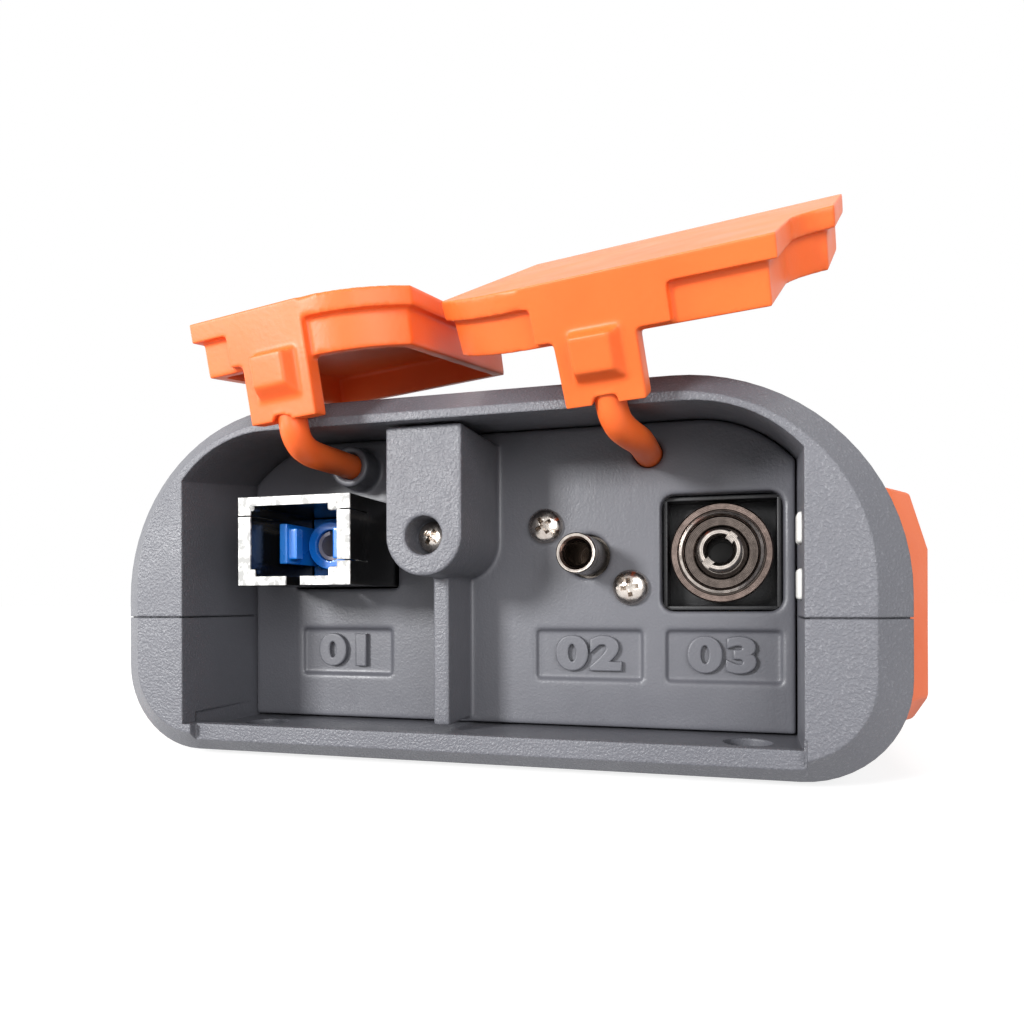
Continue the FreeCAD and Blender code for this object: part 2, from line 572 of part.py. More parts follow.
def cap_outline(boss_side, rib_side, wall_side, tab_x, inset, depth):
    """Cap outline in the cap's own frame (x along the near edge, y towards its far edge).

    The outline is the bay's own, drawn in by the cap's clearance, turned half round by the
    twisted tether: the edge that closes under the bay's ceiling is the near one here.
    """
    gap = v("cap_gap") + inset
    top = v("mouth_top")
    side = 1 if wall_side > 0 else -1
    radius = v("mouth_shoulder") - gap
    flat = side * v("mouth_flat") / 2
    wall = wall_side - side * gap
    lean = math.asin(abs(wall - flat) / radius)
    around_boss = BOSS_R + gap
    rib = rib_side + side * gap
    drop = math.sqrt(around_boss ** 2 - (rib - BOSS_X) ** 2)

    def turned(x, z):
        return Vector(tab_x - x, (top - v("cap_gap")) - z, -depth)

    def round_corner(angle):
        return turned(flat + side * radius * math.sin(angle), top - gap - radius + radius * math.cos(angle))

    def round_boss(part_way):
        angle = math.atan2(drop, abs(rib - BOSS_X)) * part_way
        return turned(BOSS_X + side * around_boss * math.cos(angle),
                      v("boss_height") - around_boss * math.sin(angle))
    low = -v("mouth_bottom") + gap
    boss_top = turned(BOSS_X + side * around_boss, top - gap)
    corner = [round_corner(lean * k) for k in (0, 0.5, 1)]
    return Part.Wire([
        Part.makeLine(boss_top, corner[0]), Part.Arc(*corner).toShape(),
        Part.makeLine(corner[2], turned(wall, low)), Part.makeLine(turned(wall, low), turned(rib, low)),
        Part.makeLine(turned(rib, low), round_boss(1)),
        Part.Arc(round_boss(1), round_boss(0.5), round_boss(0)).toShape(),
        Part.makeLine(round_boss(0), boss_top)])


def make_cap(place, fold, sides, tab_x, flush):
    """Rubber port cap: flange, hollow skirt, pull tab with its raised block and tether stub."""
    up = Vector(0, 0, 1)

    def slab(inset, shallow, deepest):
        return Part.Face(cap_outline(*sides, tab_x, inset, deepest)).extrude(up * (deepest - shallow))
    flange, skirt, inset = v("cap_flange"), v("cap_skirt"), v("cap_inset")
    outer = slab(0.0, 0.0, flange)
    ring = slab(inset, flange, skirt).cut(slab(inset + v("cap_wall"), flange, skirt))
    half, thick, length = v("cap_tab_width") / 2, v("cap_tab_thickness"), v("cap_tab_length")
    bridge = block(flush[0], flush[1], 0, thick, -skirt + 0.3, -flange)
    tab = block(-half, half, 0, thick, -length, -flange)
    wide = v("cap_block_width") / 2
    block_low = -length + thick
    raised = block(-wide, wide, -v("cap_block_rise"), 0.5, block_low, block_low + v("cap_block_length"))
    cap = outer.fuse([ring, bridge, tab, raised]).removeSplitter()
    cap.Placement = place
    end = place.multVec(Vector(0, thick / 2, -length + 0.5))
    way = fold - end
    stub = Part.makeCylinder(TETHER_R, way.Length - TETHER_R - v("tether_gap"), end, way)
    return cap.fuse(stub)


def make_tether(fold, eye):
    """Fixed part of a tether: from the bend to its barbed end behind the panel."""
    through = Vector(eye.x, PANEL_FACE - 2.6, eye.z)
    cord = Part.makeCylinder(TETHER_R, (through - fold).Length, fold, through - fold)
    plug = rod_y(eye.x, eye.z, TETHER_R, through.y, PANEL_BACK + 0.4)
    barb = Part.makeCone(TETHER_R + v("barb_rise"), TETHER_R - 0.4, v("barb_length"),
                         Vector(eye.x, PANEL_BACK + 0.3, eye.z), Vector(0, 1, 0))
    return cord.fuse([Part.makeSphere(TETHER_R, fold), Part.makeSphere(TETHER_R, through), plug, barb])


# ----------------------------------------------------------------------------------- fasteners
def pan_screw(x, z, face, shank, length, across):
    """Pan head screw with a cross recess, axis along Y, head in front of station face and across wide."""
    head_r, tall = across / 2, v("pan_head_height")
    head = rod_y(x, z, head_r, face - tall, face)
    head = head.makeFillet(0.45, [head.Edges[i] for i, e in enumerate(head.Edges)
                                  if e.Closed and abs(e.CenterOfMass.y - (face - tall)) < 1e-6])
    long, thin, low, high = 0.95, 0.2, face - tall - 1, face - tall + 0.7
    slots = [block(x - long, x + long, low, high, z - thin, z + thin),
             block(x - thin, x + thin, low, high, z - long, z + long)]
    return head.cut(Part.makeCompound(slots)).fuse(rod_y(x, z, shank, face, face + length))


def upright_screw(x, y, seat, head_r, head_tall, shank, length, points_up):
    """Screw along Z; seat is the plane under its head."""
    side = 1 if points_up else -1
    if points_up:
        head = rod_z(x, y, head_r, seat - head_tall, seat)
        stem = rod_z(x, y, shank, seat, seat + length)
        cut = seat - head_tall
    else:
        head = rod_z(x, y, head_r, seat, seat + head_tall)
        stem = rod_z(x, y, shank, seat - length, seat)
        cut = seat + head_tall
    z0, z1 = sorted((cut - side * 0.1, cut + side * 0.7))
    long, thin = 1.0, 0.22
    slots = [block(x - long, x + long, y - thin, y + thin, z0, z1),
             block(x - thin, x + thin, y - long, y + long, z0, z1)]
    return head.cut(Part.makeCompound(slots)).fuse(stem)


def spacer(x, y, low, high):
    """Hexagonal spacer with a through hole."""
    radius = v("standoff_radius")
    turns = [math.radians(60 * k) for k in range(7)]
    corners = [Vector(x + radius * math.cos(turn), y + radius * math.sin(turn), low) for turn in turns]
    hexagon = Part.Face(Part.makePolygon(corners)).extrude(Vector(0, 0, high - low))
    return hexagon.cut(rod_z(x, y, v("screw_m25") / 2 + FIT, low - 1, high + 1))


# ------------------------------------------------------------------------------ inside heights
INSIDE = BOTTOM + v("wall")
BOARD_LOW = v("main_board_height")
BOARD_TOP = BOARD_LOW + v("board_thickness")
USB_Z = BOARD_LOW - v("usb_tall") / 2
LCD_TOP = POCKET_TOP - v("gasket")
LCD_LOW = LCD_TOP - v("lcd_thickness")
KEY_BRIM_TOP = POCKET_TOP - v("key_under")
KEY_BRIM_LOW = KEY_BRIM_TOP - v("key_flange")
MAT_TOP = KEY_BRIM_LOW - v("key_travel_room")
KEY_BOARD_TOP = MAT_TOP - v("mat_thickness")
KEY_BOARD_LOW = KEY_BOARD_TOP - v("board_thickness")
LAMP_XS = (-3.5, 3.5)
LAMP_Y = FRONT + v("bezel_start") + 125.0
LAMP_R = 0.8
ENGINE_TOP = INSIDE + v("engine_tall")
ENGINE_Y = FRONT + v("engine_start")
FIBRE_R = v("fibre") / 2
TRAY_WALL = 1.0


def make_fibre():
    """Pigtail: an S-bend down from the plug's boot, then three flat turns in the tray."""
    bend, start_y = 12.0, FRONT + v("sc_face") + v("sc_length") + 9.0
    top, low = SC_Z, ENGINE_TOP + TRAY_WALL + FIBRE_R + FIT
    lean = math.acos(1 - (top - low) / (2 * bend))
    run = bend * math.sin(lean)

    def drop(at):
        """Height of the S-bend at distance at behind its start."""
        if at <= run:
            return top - bend + math.sqrt(bend ** 2 - at ** 2)
        return low + bend - math.sqrt(bend ** 2 - (2 * run - at) ** 2)

    def point(at):
        return Vector(SC_X, start_y + at, drop(at))
    first = point(bend * math.sin(lean / 2))
    second = point(2 * run - bend * math.sin(lean / 2))
    centre_y = ENGINE_Y + v("engine_length") / 2
    edges = [Part.Arc(point(0), first, point(run)).toShape(),
             Part.Arc(point(run), second, point(2 * run)).toShape(),
             Part.makeLine(point(2 * run), Vector(SC_X, centre_y, low))]
    x, step = SC_X, 0.7
    for turn in range(6):
        side = 1 if x < 0 else -1
        reach = abs(SC_X) - step * (turn + 1)
        other = side * reach
        middle = Vector((x + other) / 2, centre_y + side * abs(other - x) / 2, low)
        edges.append(Part.Arc(Vector(x, centre_y, low), middle, Vector(other, centre_y, low)).toShape())
        x = other
    end_x = 3.0
    top_of_arc = Vector((x + end_x) / 2, centre_y + (end_x - x) / 2, low)
    edges.append(Part.Arc(Vector(x, centre_y, low), top_of_arc, Vector(end_x, centre_y, low)).toShape())
    end = Vector(end_x, centre_y - 2.0, low)
    edges.append(Part.makeLine(Vector(end_x, centre_y, low), end))
    path = Part.Wire(edges)
    ring = Part.Wire(Part.makeCircle(FIBRE_R, point(0), Vector(0, 1, 0)))
    return path.makePipeShell([ring], True, True, 2), end


# ------------------------------------------------------------------------- the housing's pieces
feature("top_shell", make_top_shell())
feature("bottom_shell", make_bottom_shell())
feature("port_panel", make_port_panel())
feature("side_grip_left", make_grip(-1))
feature("side_grip_right", make_grip(1))
feature("panel_screw", pan_screw(BOSS_X, BOSS_Z, SCREW_SEAT, 1.05, 18.0, v("pan_head")))
feature("case_screws", Part.makeCompound([
    upright_screw(x, y, BOTTOM + v("case_screw_seat"), v("case_screw_head") / 2, 1.8, 1.0, 16.0, True)
    for x, y in CASE_BOSSES]))
feature("rubber_feet", Part.makeCompound([rod_z(x, y, FOOT_R, 0.0, FOOT_TOP) for x, y in FEET]))

# ------------------------------------------------------------------------------------ SC port
SC_ROOM = "(sizes.sc_length - sizes.sc_mouth_depth - 1.5)"
adapter = new_body("sc_adapter_shell")
pad(adapter, rectangle(adapter, "adapter_outline", "XZ_Plane", F + " - sizes.sc_face - sizes.sc_length",
                       "-sizes.sc_x - sizes.sc_width / 2", P + " + sizes.sc_height - sizes.sc_tall / 2",
                       "sizes.sc_width", "sizes.sc_tall"), "sizes.sc_length")
pocket(adapter, rectangle(adapter, "adapter_mouth", "XZ_Plane", F + " - sizes.sc_face",
                          "-sizes.sc_x - sizes.sc_mouth_width / 2",
                          P + " + sizes.sc_height - sizes.sc_mouth_tall / 2",
                          "sizes.sc_mouth_width", "sizes.sc_mouth_tall"), "sizes.sc_mouth_depth", False)
pocket(adapter, rectangle(adapter, "adapter_back", "XZ_Plane", F + " - sizes.sc_face - sizes.sc_length",
                          "-sizes.sc_x - sizes.sc_mouth_width / 2",
                          P + " + sizes.sc_height - sizes.sc_mouth_tall / 2",
                          "sizes.sc_mouth_width", "sizes.sc_mouth_tall"), SC_ROOM, True)
pocket(adapter, rectangle(adapter, "adapter_key", "XZ_Plane", F + " - sizes.sc_face",
                          "-sizes.sc_x - sizes.sc_key_width / 2",
                          P + " + sizes.sc_height - sizes.sc_tall / 2 - 0.1",
                          "sizes.sc_key_width", "1.4"), "9", False)
pocket(adapter, circle(adapter, "adapter_web_hole", "XZ_Plane", F + " - sizes.sc_face", "-sizes.sc_x",
                       P + " + sizes.sc_height", "sizes.ferrule / 2 + 2"), "sizes.sc_length", False)

# thin slits that part the adapter's rim: one in its left wall, two in its right wall
LEFT_WALL = "-sizes.sc_x - sizes.sc_width / 2 - 0.1"
RIGHT_WALL = "-sizes.sc_x + sizes.sc_mouth_width / 2 - 0.1"
SLIT_LENGTH = "(sizes.sc_width - sizes.sc_mouth_width) / 2 + 0.2"
SLIT_WIDTH, SLIT_DEPTH = "0.14", "4"
for index, (across, up) in enumerate(((LEFT_WALL, "2.6"), (RIGHT_WALL, "3.0"), (RIGHT_WALL, "-2.2"))):
    slit = rectangle(adapter, "adapter_slit_%d" % index, "XZ_Plane", F + " - sizes.sc_face", across,
                     P + " + sizes.sc_height + " + up, SLIT_LENGTH, SLIT_WIDTH)
    pocket(adapter, slit, SLIT_DEPTH, False)

WEB = FRONT + v("sc_face") + v("sc_mouth_depth")
SLEEVE_FRONT = WEB - v("sleeve_length")


def make_sc_insert():
    """Blue latch frame of the adapter: base plate, ferrule barrel and two hooked latch arms."""
    inner = v("ferrule") / 2 + v("sleeve_wall") + 0.1
    outer = inner + 0.95
    half_w, half_t = v("sc_mouth_width") / 2 - 0.1, v("sc_mouth_tall") / 2 - 0.1
    plate = block(SC_X - half_w, SC_X + half_w, WEB - 1.3, WEB, SC_Z - half_t, SC_Z + half_t)
    barrel = rod_y(SC_X, SC_Z, outer, SLEEVE_FRONT - 0.4, WEB + 1.0)
    parts = [barrel]
    front, thick = WEB - v("latch_reach"), 0.9
    for side in (-1, 1):
        x_out = SC_X + side * (half_w - 1.0)
        x_in = x_out - side * thick
        hook = x_in - side * thick
        parts.append(block(min(x_out, x_in), max(x_out, x_in), front, WEB - 1.0, SC_Z - 2.2, SC_Z + 2.2))
        parts.append(block(min(x_in, hook), max(x_in, hook), front + 0.5, front + 1.8,
                           SC_Z - 1.7, SC_Z + 1.7))
    return plate.fuse(parts).cut(rod_y(SC_X, SC_Z, inner, WEB - 9, WEB + 2))


feature("sc_adapter_insert", make_sc_insert())
SLEEVE_R = v("ferrule") / 2 + v("sleeve_wall")
sleeve = rod_y(SC_X, SC_Z, SLEEVE_R, SLEEVE_FRONT, WEB + 0.9)
sleeve = sleeve.cut(rod_y(SC_X, SC_Z, v("ferrule") / 2, WEB - 9, WEB + 2))
feature("sc_split_sleeve", sleeve.cut(block(SC_X - 0.2, SC_X + 0.2, WEB - 9, WEB + 2, SC_Z, SC_Z + 3)))


def make_sc_clip():
    """Spring clip that holds the adapter against the back of the panel."""
    wide, tall = v("sc_width") / 2, v("sc_tall") / 2
    outer = block(SC_X - wide - 1.6, SC_X + wide + 1.6, PANEL_BACK + 0.06, PANEL_BACK + 0.86,
                  SC_Z - tall - 1.6, SC_Z + tall + 1.6)
    return outer.cut(block(SC_X - wide - FIT, SC_X + wide + FIT, PANEL_BACK - 1, PANEL_BACK + 2,
                           SC_Z - tall - 3, SC_Z + tall + FIT))


feature("sc_retaining_clip", make_sc_clip())
SC_END = FRONT + v("sc_face") + v("sc_length")
plug = block(SC_X - 3.6, SC_X + 3.6, WEB + 2.6, SC_END + 3.0, SC_Z - 3.4, SC_Z + 3.4)
boot = Part.makeCone(2.4, 1.1, 6.0, Vector(SC_X, SC_END + 3.0, SC_Z), Vector(0, 1, 0))
feature("inner_fibre_plug", plug.fuse(boot))

# -------------------------------------------------------------- power meter and fault locator
opm = new_body("opm_port")
pad(opm, circle(opm, "opm_tube_outline", "XZ_Plane", F + " - sizes.opm_face - sizes.opm_length",
                "sizes.opm_x", P + " + sizes.opm_height", "sizes.opm_tube / 2"), "sizes.opm_length")
pad(opm, rectangle(opm, "opm_flange_outline", "XZ_Plane",
                   F + " - sizes.recess_depth - sizes.panel_thickness - 1.66",
                   "sizes.opm_x - sizes.opm_screw_dx - 2.0",
                   P + " + sizes.opm_height - sizes.opm_screw_dz - 2.2",
                   "2 * sizes.opm_screw_dx + 4.0", "2 * sizes.opm_screw_dz + 4.4"), "1.6")
pocket(opm, circle(opm, "opm_bore", "XZ_Plane", F + " - sizes.opm_face", "sizes.opm_x",
                   P + " + sizes.opm_height", "sizes.ferrule / 2"), "sizes.opm_length - 2", False)
for index, sign in enumerate(("-", "+")):
    other = "+" if sign == "-" else "-"
    pocket(opm, circle(opm, "opm_thread_%d" % index, "XZ_Plane", F + " - sizes.recess_depth",
                       "sizes.opm_x %s sizes.opm_screw_dx" % sign,
                       P + " + sizes.opm_height %s sizes.opm_screw_dz" % other, "0.95"), "8", False)
feature("opm_screws", Part.makeCompound([
    pan_screw(x, z, PANEL_FACE + FIT, 0.9, 4.6, v("opm_screw_head")) for x, z in OPM_SCREWS]))
OPM_END = FRONT + v("opm_face") + v("opm_length")
feature("opm_detector", rod_y(OPM_X, OPM_Z, 4.1, OPM_END, OPM_END + 3.2).fuse(
    rod_y(OPM_X, OPM_Z, 4.7, OPM_END + 3.2, OPM_END + 4.2)))

CUP_FRONT = PANEL_FACE + 0.3
CUP_SEAT = CUP_FRONT + v("cup_depth") - 1.0
VFL_BARREL_R = 2.9


def make_vfl_cup():
    """Square black cup that fills the panel's window and carries the fault locator port."""
    half, wall = v("vfl_window") / 2 - 0.1, v("cup_wall")
    outer = block(VFL_X - half, VFL_X + half, CUP_FRONT, CUP_SEAT + 1.0, VFL_Z - half, VFL_Z + half)
    outer = outer.makeFillet(v("vfl_window_corner") - 0.1, [e for e in outer.Edges if deep(e)])
    lug = 0.8
    back = block(VFL_X - half - lug, VFL_X + half + lug, PANEL_BACK + 0.06, CUP_SEAT + 1.0,
                 VFL_Z - half - lug, VFL_Z + half + lug)
    inner = half - wall
    room = block(VFL_X - inner, VFL_X + inner, CUP_FRONT - 1, CUP_SEAT, VFL_Z - inner, VFL_Z + inner)
    return outer.fuse(back).cut(room).cut(rod_y(VFL_X, VFL_Z, VFL_BARREL_R + FIT, CUP_FRONT, CUP_SEAT + 2))


feature("vfl_cup", make_vfl_cup())


def make_vfl_port():
    """Turned metal port: stepped flange, ferrule tube with two notches, barrel behind."""
    front = PANEL_FACE + v("vfl_tube_face") - v("recess_depth")
    flange_front = PANEL_FACE + v("vfl_flange_back")
    end = front + v("vfl_length")
    solid = rod_y(VFL_X, VFL_Z, v("vfl_flange") / 2, flange_front, CUP_SEAT)
    steps = [rod_y(VFL_X, VFL_Z, v("vfl_flange") / 2 - 0.9, flange_front - 0.5, flange_front),
             rod_y(VFL_X, VFL_Z, v("vfl_flange") / 2 - 1.4, flange_front - 1.0, flange_front),
             rod_y(VFL_X, VFL_Z, v("vfl_tube") / 2, front, flange_front),
             rod_y(VFL_X, VFL_Z, VFL_BARREL_R, CUP_SEAT - 0.5, end)]
    solid = solid.fuse(steps)
    dish = rod_y(VFL_X, VFL_Z, v("vfl_flange") / 2 - 1.8, flange_front - 2, flange_front + 0.4)
    dish = dish.cut(rod_y(VFL_X, VFL_Z, v("vfl_tube") / 2, flange_front - 3, flange_front + 1))
    notch = block(VFL_X - 5, VFL_X + 5, front - 1, front + 0.9, VFL_Z - 0.45, VFL_Z + 0.45)
    notch.rotate(Vector(VFL_X, front, VFL_Z), Vector(0, 1, 0), -40)
    bore = rod_y(VFL_X, VFL_Z, v("ferrule") / 2, front - 1, end - 1.5)
    return solid.cut(dish).cut(notch).cut(bore), end


vfl_shape, VFL_END = make_vfl_port()
feature("vfl_port", vfl_shape)
feature("vfl_laser", rod_y(VFL_X, VFL_Z, 4.0, VFL_END, VFL_END + 9.0).fuse(
    block(VFL_X - 3.0, VFL_X + 3.0, VFL_END + 9.0, VFL_END + 10.2, VFL_Z - 3.0, VFL_Z + 3.0)))

# ----------------------------------------------------------------------------------- port caps
OTDR_TAB_X = -v("boss_left") - v("cap_gap") - v("otdr_tab_offset")
METER_TAB_X = -v("boss_right") + v("cap_gap") + v("meter_tab_offset")
OTDR_SIDES = (-v("boss_left"), -v("rib_left"), -MOUTH_HALF)
METER_SIDES = (-v("boss_right"), -v("rib_right"), MOUTH_HALF)
feature("otdr_cap", make_cap(OTDR_PLACE, OTDR_FOLD, OTDR_SIDES, OTDR_TAB_X, (-5.0, 1.5)))
feature("otdr_tether", make_tether(OTDR_FOLD, OTDR_EYE))
feature("meter_cap", make_cap(METER_PLACE, METER_FOLD, METER_SIDES, METER_TAB_X, (-5.2, 6.6)))
feature("meter_tether", make_tether(METER_FOLD, METER_EYE))

# ------------------------------------------------------------------------------ screen and keys
plate_body("screen_lens", LENS_LOW, "sizes.lens_thickness", "-sizes.lens_width / 2",
           "-" + F + " + sizes.lens_start", "sizes.lens_width", "sizes.lens_length", 3.8)
gasket = new_body("screen_gasket")
MIDDLE_Y = "(-" + F + " + sizes.lens_start + sizes.lens_length / 2)"
pad(gasket, rectangle(gasket, "gasket_outline", "XY_Plane", ROOF + " - sizes.gasket", "-sizes.lcd_width / 2",
                      MIDDLE_Y + " - sizes.lcd_length / 2", "sizes.lcd_width", "sizes.lcd_length"),
    "sizes.gasket")
pocket(gasket, rectangle(gasket, "gasket_window", "XY_Plane", ROOF + " - sizes.gasket",
                         "-sizes.view_width / 2", MIDDLE_Y + " - sizes.view_length / 2",
                         "sizes.view_width", "sizes.view_length"), "sizes.gasket", True)
plate_body("lcd_module", ROOF + " - sizes.gasket - sizes.lcd_thickness", "sizes.lcd_thickness",
           "-sizes.lcd_width / 2", MIDDLE_Y + " - sizes.lcd_length / 2",
           "sizes.lcd_width", "sizes.lcd_length")
key_caps = key_shapes(0.0, KEY_BRIM_LOW, BEZEL_TOP + v("key_rise"))
key_brims = key_shapes(v("key_gap") + v("key_brim"), KEY_BRIM_LOW, KEY_BRIM_TOP)
for name, cap in key_caps.items():
    brim = key_brims[name]
    if name in ARROWS:
        brim = ring_sector(ARROWS[name], 0.0, KEY_BRIM_LOW, KEY_BRIM_TOP, v("key_gap") + v("key_brim"))
    if name == "ok_key":
        brim = Part.makeCylinder(v("ok_radius") + v("key_gap") + 0.6, KEY_BRIM_TOP - KEY_BRIM_LOW,
                                 Vector(0, PAD_Y, KEY_BRIM_LOW))
    feature(name, cap.fuse(brim))
half_mat = v("keypad_half") - 0.8
feature("keypad_mat", block(-half_mat, half_mat, PAD_Y - 13.3, PAD_Y + 13.3, KEY_BOARD_TOP, MAT_TOP))
feature("keypad_board", rounded_plate(0, PAD_Y, 2 * half_mat, 34.0, v("keypad_corner"),
                                      KEY_BOARD_LOW, KEY_BOARD_TOP))
feature("status_light_pipes", Part.makeCompound([
    rod_z(x, LAMP_Y, LAMP_R, KEY_BOARD_TOP + 0.1, BEZEL_TOP) for x in LAMP_XS]))

# -------------------------------------------------------------------------------------- inside
board = plate_body("main_board", "sizes.main_board_height", "sizes.board_thickness",
                   "-sizes.main_board_width / 2", "-" + F + " + sizes.main_board_start",
                   "sizes.main_board_width", "sizes.main_board_end - sizes.main_board_start", 2.0)
for index, (x, y) in enumerate(STANDOFFS):
    pocket(board, circle(board, "board_hole_%d" % index, "XY_Plane", "sizes.main_board_height",
                         str(x), str(y), "sizes.screw_m25 / 2 + 0.1"), "sizes.board_thickness", True)
feature("board_spacers", Part.makeCompound([spacer(x, y, INSIDE, BOARD_LOW) for x, y in STANDOFFS]))
feature("board_screws", Part.makeCompound([
    upright_screw(x, y, BOARD_TOP, 2.2, 1.5, v("screw_m25") / 2, 6.0, False) for x, y in STANDOFFS]))
feature("shield_can", rounded_plate(-2.0, FRONT + 58.0, 24.0, 26.0, 1.0, BOARD_TOP, BOARD_TOP + 2.6))
feature("board_chips", Part.makeCompound([
    block(14.0, 24.0, FRONT + 60.0, FRONT + 70.0, BOARD_TOP, BOARD_TOP + 1.2),
    block(-20.0, -8.0, FRONT + 80.0, FRONT + 92.0, BOARD_TOP, BOARD_TOP + 1.4),
    block(4.0, 12.0, FRONT + 80.0, FRONT + 86.0, BOARD_TOP, BOARD_TOP + 1.0)]))
feature("lcd_foam_pads", Part.makeCompound([
    block(x - 3, x + 3, y - 4, y + 4, BOARD_TOP, LCD_LOW)
    for x in (-18.0, 18.0) for y in (FRONT + 49.0, FRONT + 101.0)]))
feature("keypad_connector", block(-11.0, 11.0, PAD_Y - 8.0, PAD_Y - 3.0, BOARD_TOP, KEY_BOARD_LOW))
feature("buzzer", rod_z(17.0, PAD_Y - 2.0, 4.5, BOARD_TOP, BOARD_TOP + 3.2))
LCD_END = LENS_CENTRE + v("lcd_length") / 2
flex = block(-9, 9, LCD_END - 8, LCD_END + 1.9, LCD_LOW - 0.3, LCD_LOW).fuse([
    block(-9, 9, LCD_END + 1.6, LCD_END + 1.9, BOARD_TOP + 0.6, LCD_LOW),
    block(-9, 9, LCD_END - 4, LCD_END + 1.9, BOARD_TOP + 0.6, BOARD_TOP + 0.9)])
feature("lcd_flex", flex)
feature("lcd_flex_socket", block(-10, 10, LCD_END - 8.5, LCD_END - 4, BOARD_TOP, BOARD_TOP + 1.8))
ENGINE_MIDDLE = ENGINE_Y + v("engine_length") / 2
feature("optical_engine", rounded_plate(0, ENGINE_MIDDLE, v("engine_width"), v("engine_length"), 1.5,
                                        INSIDE, ENGINE_TOP))
tray = rounded_plate(0, ENGINE_MIDDLE, v("engine_width"), v("engine_length"), 4.0,
                     ENGINE_TOP, ENGINE_TOP + v("tray_tall"))
tray = tray.cut(rounded_plate(0, ENGINE_MIDDLE, v("engine_width") - 2 * TRAY_WALL,
                              v("engine_length") - 2 * TRAY_WALL, 4.0 - TRAY_WALL,
                              ENGINE_TOP + TRAY_WALL, ENGINE_TOP + 9))
feature("fibre_tray", tray)
fibre, FIBRE_END = make_fibre()
feature("fibre_pigtail", fibre)
feature("splice_sleeve", rod_y(FIBRE_END.x, ENGINE_TOP + 1.0 + 1.25, 1.2, FIBRE_END.y - 11.0, FIBRE_END.y))
CELL_R = v("cell_diameter") / 2
CELL_Y = FRONT + v("cell_start")
CELL_Z = INSIDE + v("cradle_wall") + CELL_R
cells = [rod_y(side * (CELL_R + 0.15), CELL_Z, CELL_R, CELL_Y, CELL_Y + v("cell_length")) for side in (-1, 1)]
feature("battery_cells", Part.makeCompound(cells))
CELL_END = CELL_Y + v("cell_length")
cradle_half = 2 * CELL_R + 1.6
cradle_room = cradle_half - 1.2
cradle = block(-cradle_half, cradle_half, CELL_Y - 1.2, CELL_END + 1.2, INSIDE, CELL_Z)
cradle = cradle.cut(block(-cradle_room, cradle_room, CELL_Y - 0.2, CELL_END + 0.2,
                          CELL_Z - CELL_R, CELL_Z + 1))
feature("battery_cradle", cradle)
usb = rounded_plate(0, BACK - 1.9 - v("usb_depth") / 2, v("usb_width"), v("usb_depth"), 0.5,
                    BOARD_LOW - v("usb_tall"), BOARD_LOW)
usb_half = v("usb_width") / 2 - 0.6
usb_room = block(-usb_half, usb_half, BACK - 7.5, BACK, USB_Z - 1.0, USB_Z + 1.0)
usb_tongue = block(-3.3, 3.3, BACK - 8.0, BACK - 3.4, USB_Z - 0.35, USB_Z + 0.35)
feature("usb_socket", usb.cut(usb_room).fuse(usb_tongue))
cover_plate = block(-7.9, 7.9, BACK - 1.5, BACK + 0.5, USB_Z - 3.5, USB_Z + 3.7)
cover_plate = cover_plate.makeFillet(1.2, [e for e in cover_plate.Edges if deep(e)])
cover_plug = block(-3.8, 3.8, BACK - 2.3, BACK - 1.5, USB_Z - 0.8, USB_Z + 0.8)
lug = block(-2.5, 2.5, BACK + 0.5, BACK + 1.1, USB_Z + 2.3, USB_Z + 3.5)
feature("usb_cover", cover_plate.fuse([cover_plug, lug]))
anchor = block(-3.0, 3.0, BACK + 0.06, BACK + 0.9, USB_Z - 6.2, USB_Z - 4.05)
feature("usb_cover_anchor", anchor)

# ------------------------------------------------------------------------------ checks and files
doc.recompute()
for obj in doc.Objects:
    if "Invalid" in obj.State or "Error" in obj.State:
        raise RuntimeError("%s did not compute: %s" % (obj.Name, obj.State))
for obj in NODES:
    if obj.Shape.isNull() or not obj.Shape.isValid():
        raise RuntimeError("%s has no valid shape" % obj.Label)
for obj in NODES:
    obj.Shape.exportStep("parts/%s.step" % obj.Label)
print("%d sub-parts" % len(NODES))
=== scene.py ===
"""Looks of a handheld optical time domain reflectometer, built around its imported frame.

Metres, in the part's own frame: +Z is the screen side, the port face looks along -Y.
"""

import json
import math

import bmesh
import bpy
from mathutils import Matrix, Vector


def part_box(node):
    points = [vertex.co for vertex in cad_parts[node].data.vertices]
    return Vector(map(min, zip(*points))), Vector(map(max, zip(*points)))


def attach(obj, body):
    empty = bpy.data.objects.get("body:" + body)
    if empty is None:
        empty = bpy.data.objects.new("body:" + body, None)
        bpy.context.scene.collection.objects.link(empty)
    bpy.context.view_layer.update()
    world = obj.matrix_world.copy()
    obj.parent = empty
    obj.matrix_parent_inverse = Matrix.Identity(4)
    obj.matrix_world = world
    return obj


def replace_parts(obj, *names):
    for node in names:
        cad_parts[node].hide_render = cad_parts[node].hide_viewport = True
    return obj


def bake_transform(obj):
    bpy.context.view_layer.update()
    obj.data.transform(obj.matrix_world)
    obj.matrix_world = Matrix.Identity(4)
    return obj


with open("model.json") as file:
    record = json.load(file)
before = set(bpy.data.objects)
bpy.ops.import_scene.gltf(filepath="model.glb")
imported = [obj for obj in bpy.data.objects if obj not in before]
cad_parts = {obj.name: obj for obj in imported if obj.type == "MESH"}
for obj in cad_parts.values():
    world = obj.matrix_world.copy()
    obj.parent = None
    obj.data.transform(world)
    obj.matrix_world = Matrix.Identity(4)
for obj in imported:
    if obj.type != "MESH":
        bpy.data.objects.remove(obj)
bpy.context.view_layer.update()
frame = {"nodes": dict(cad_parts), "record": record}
MM = 0.001
NODES = frame["nodes"]


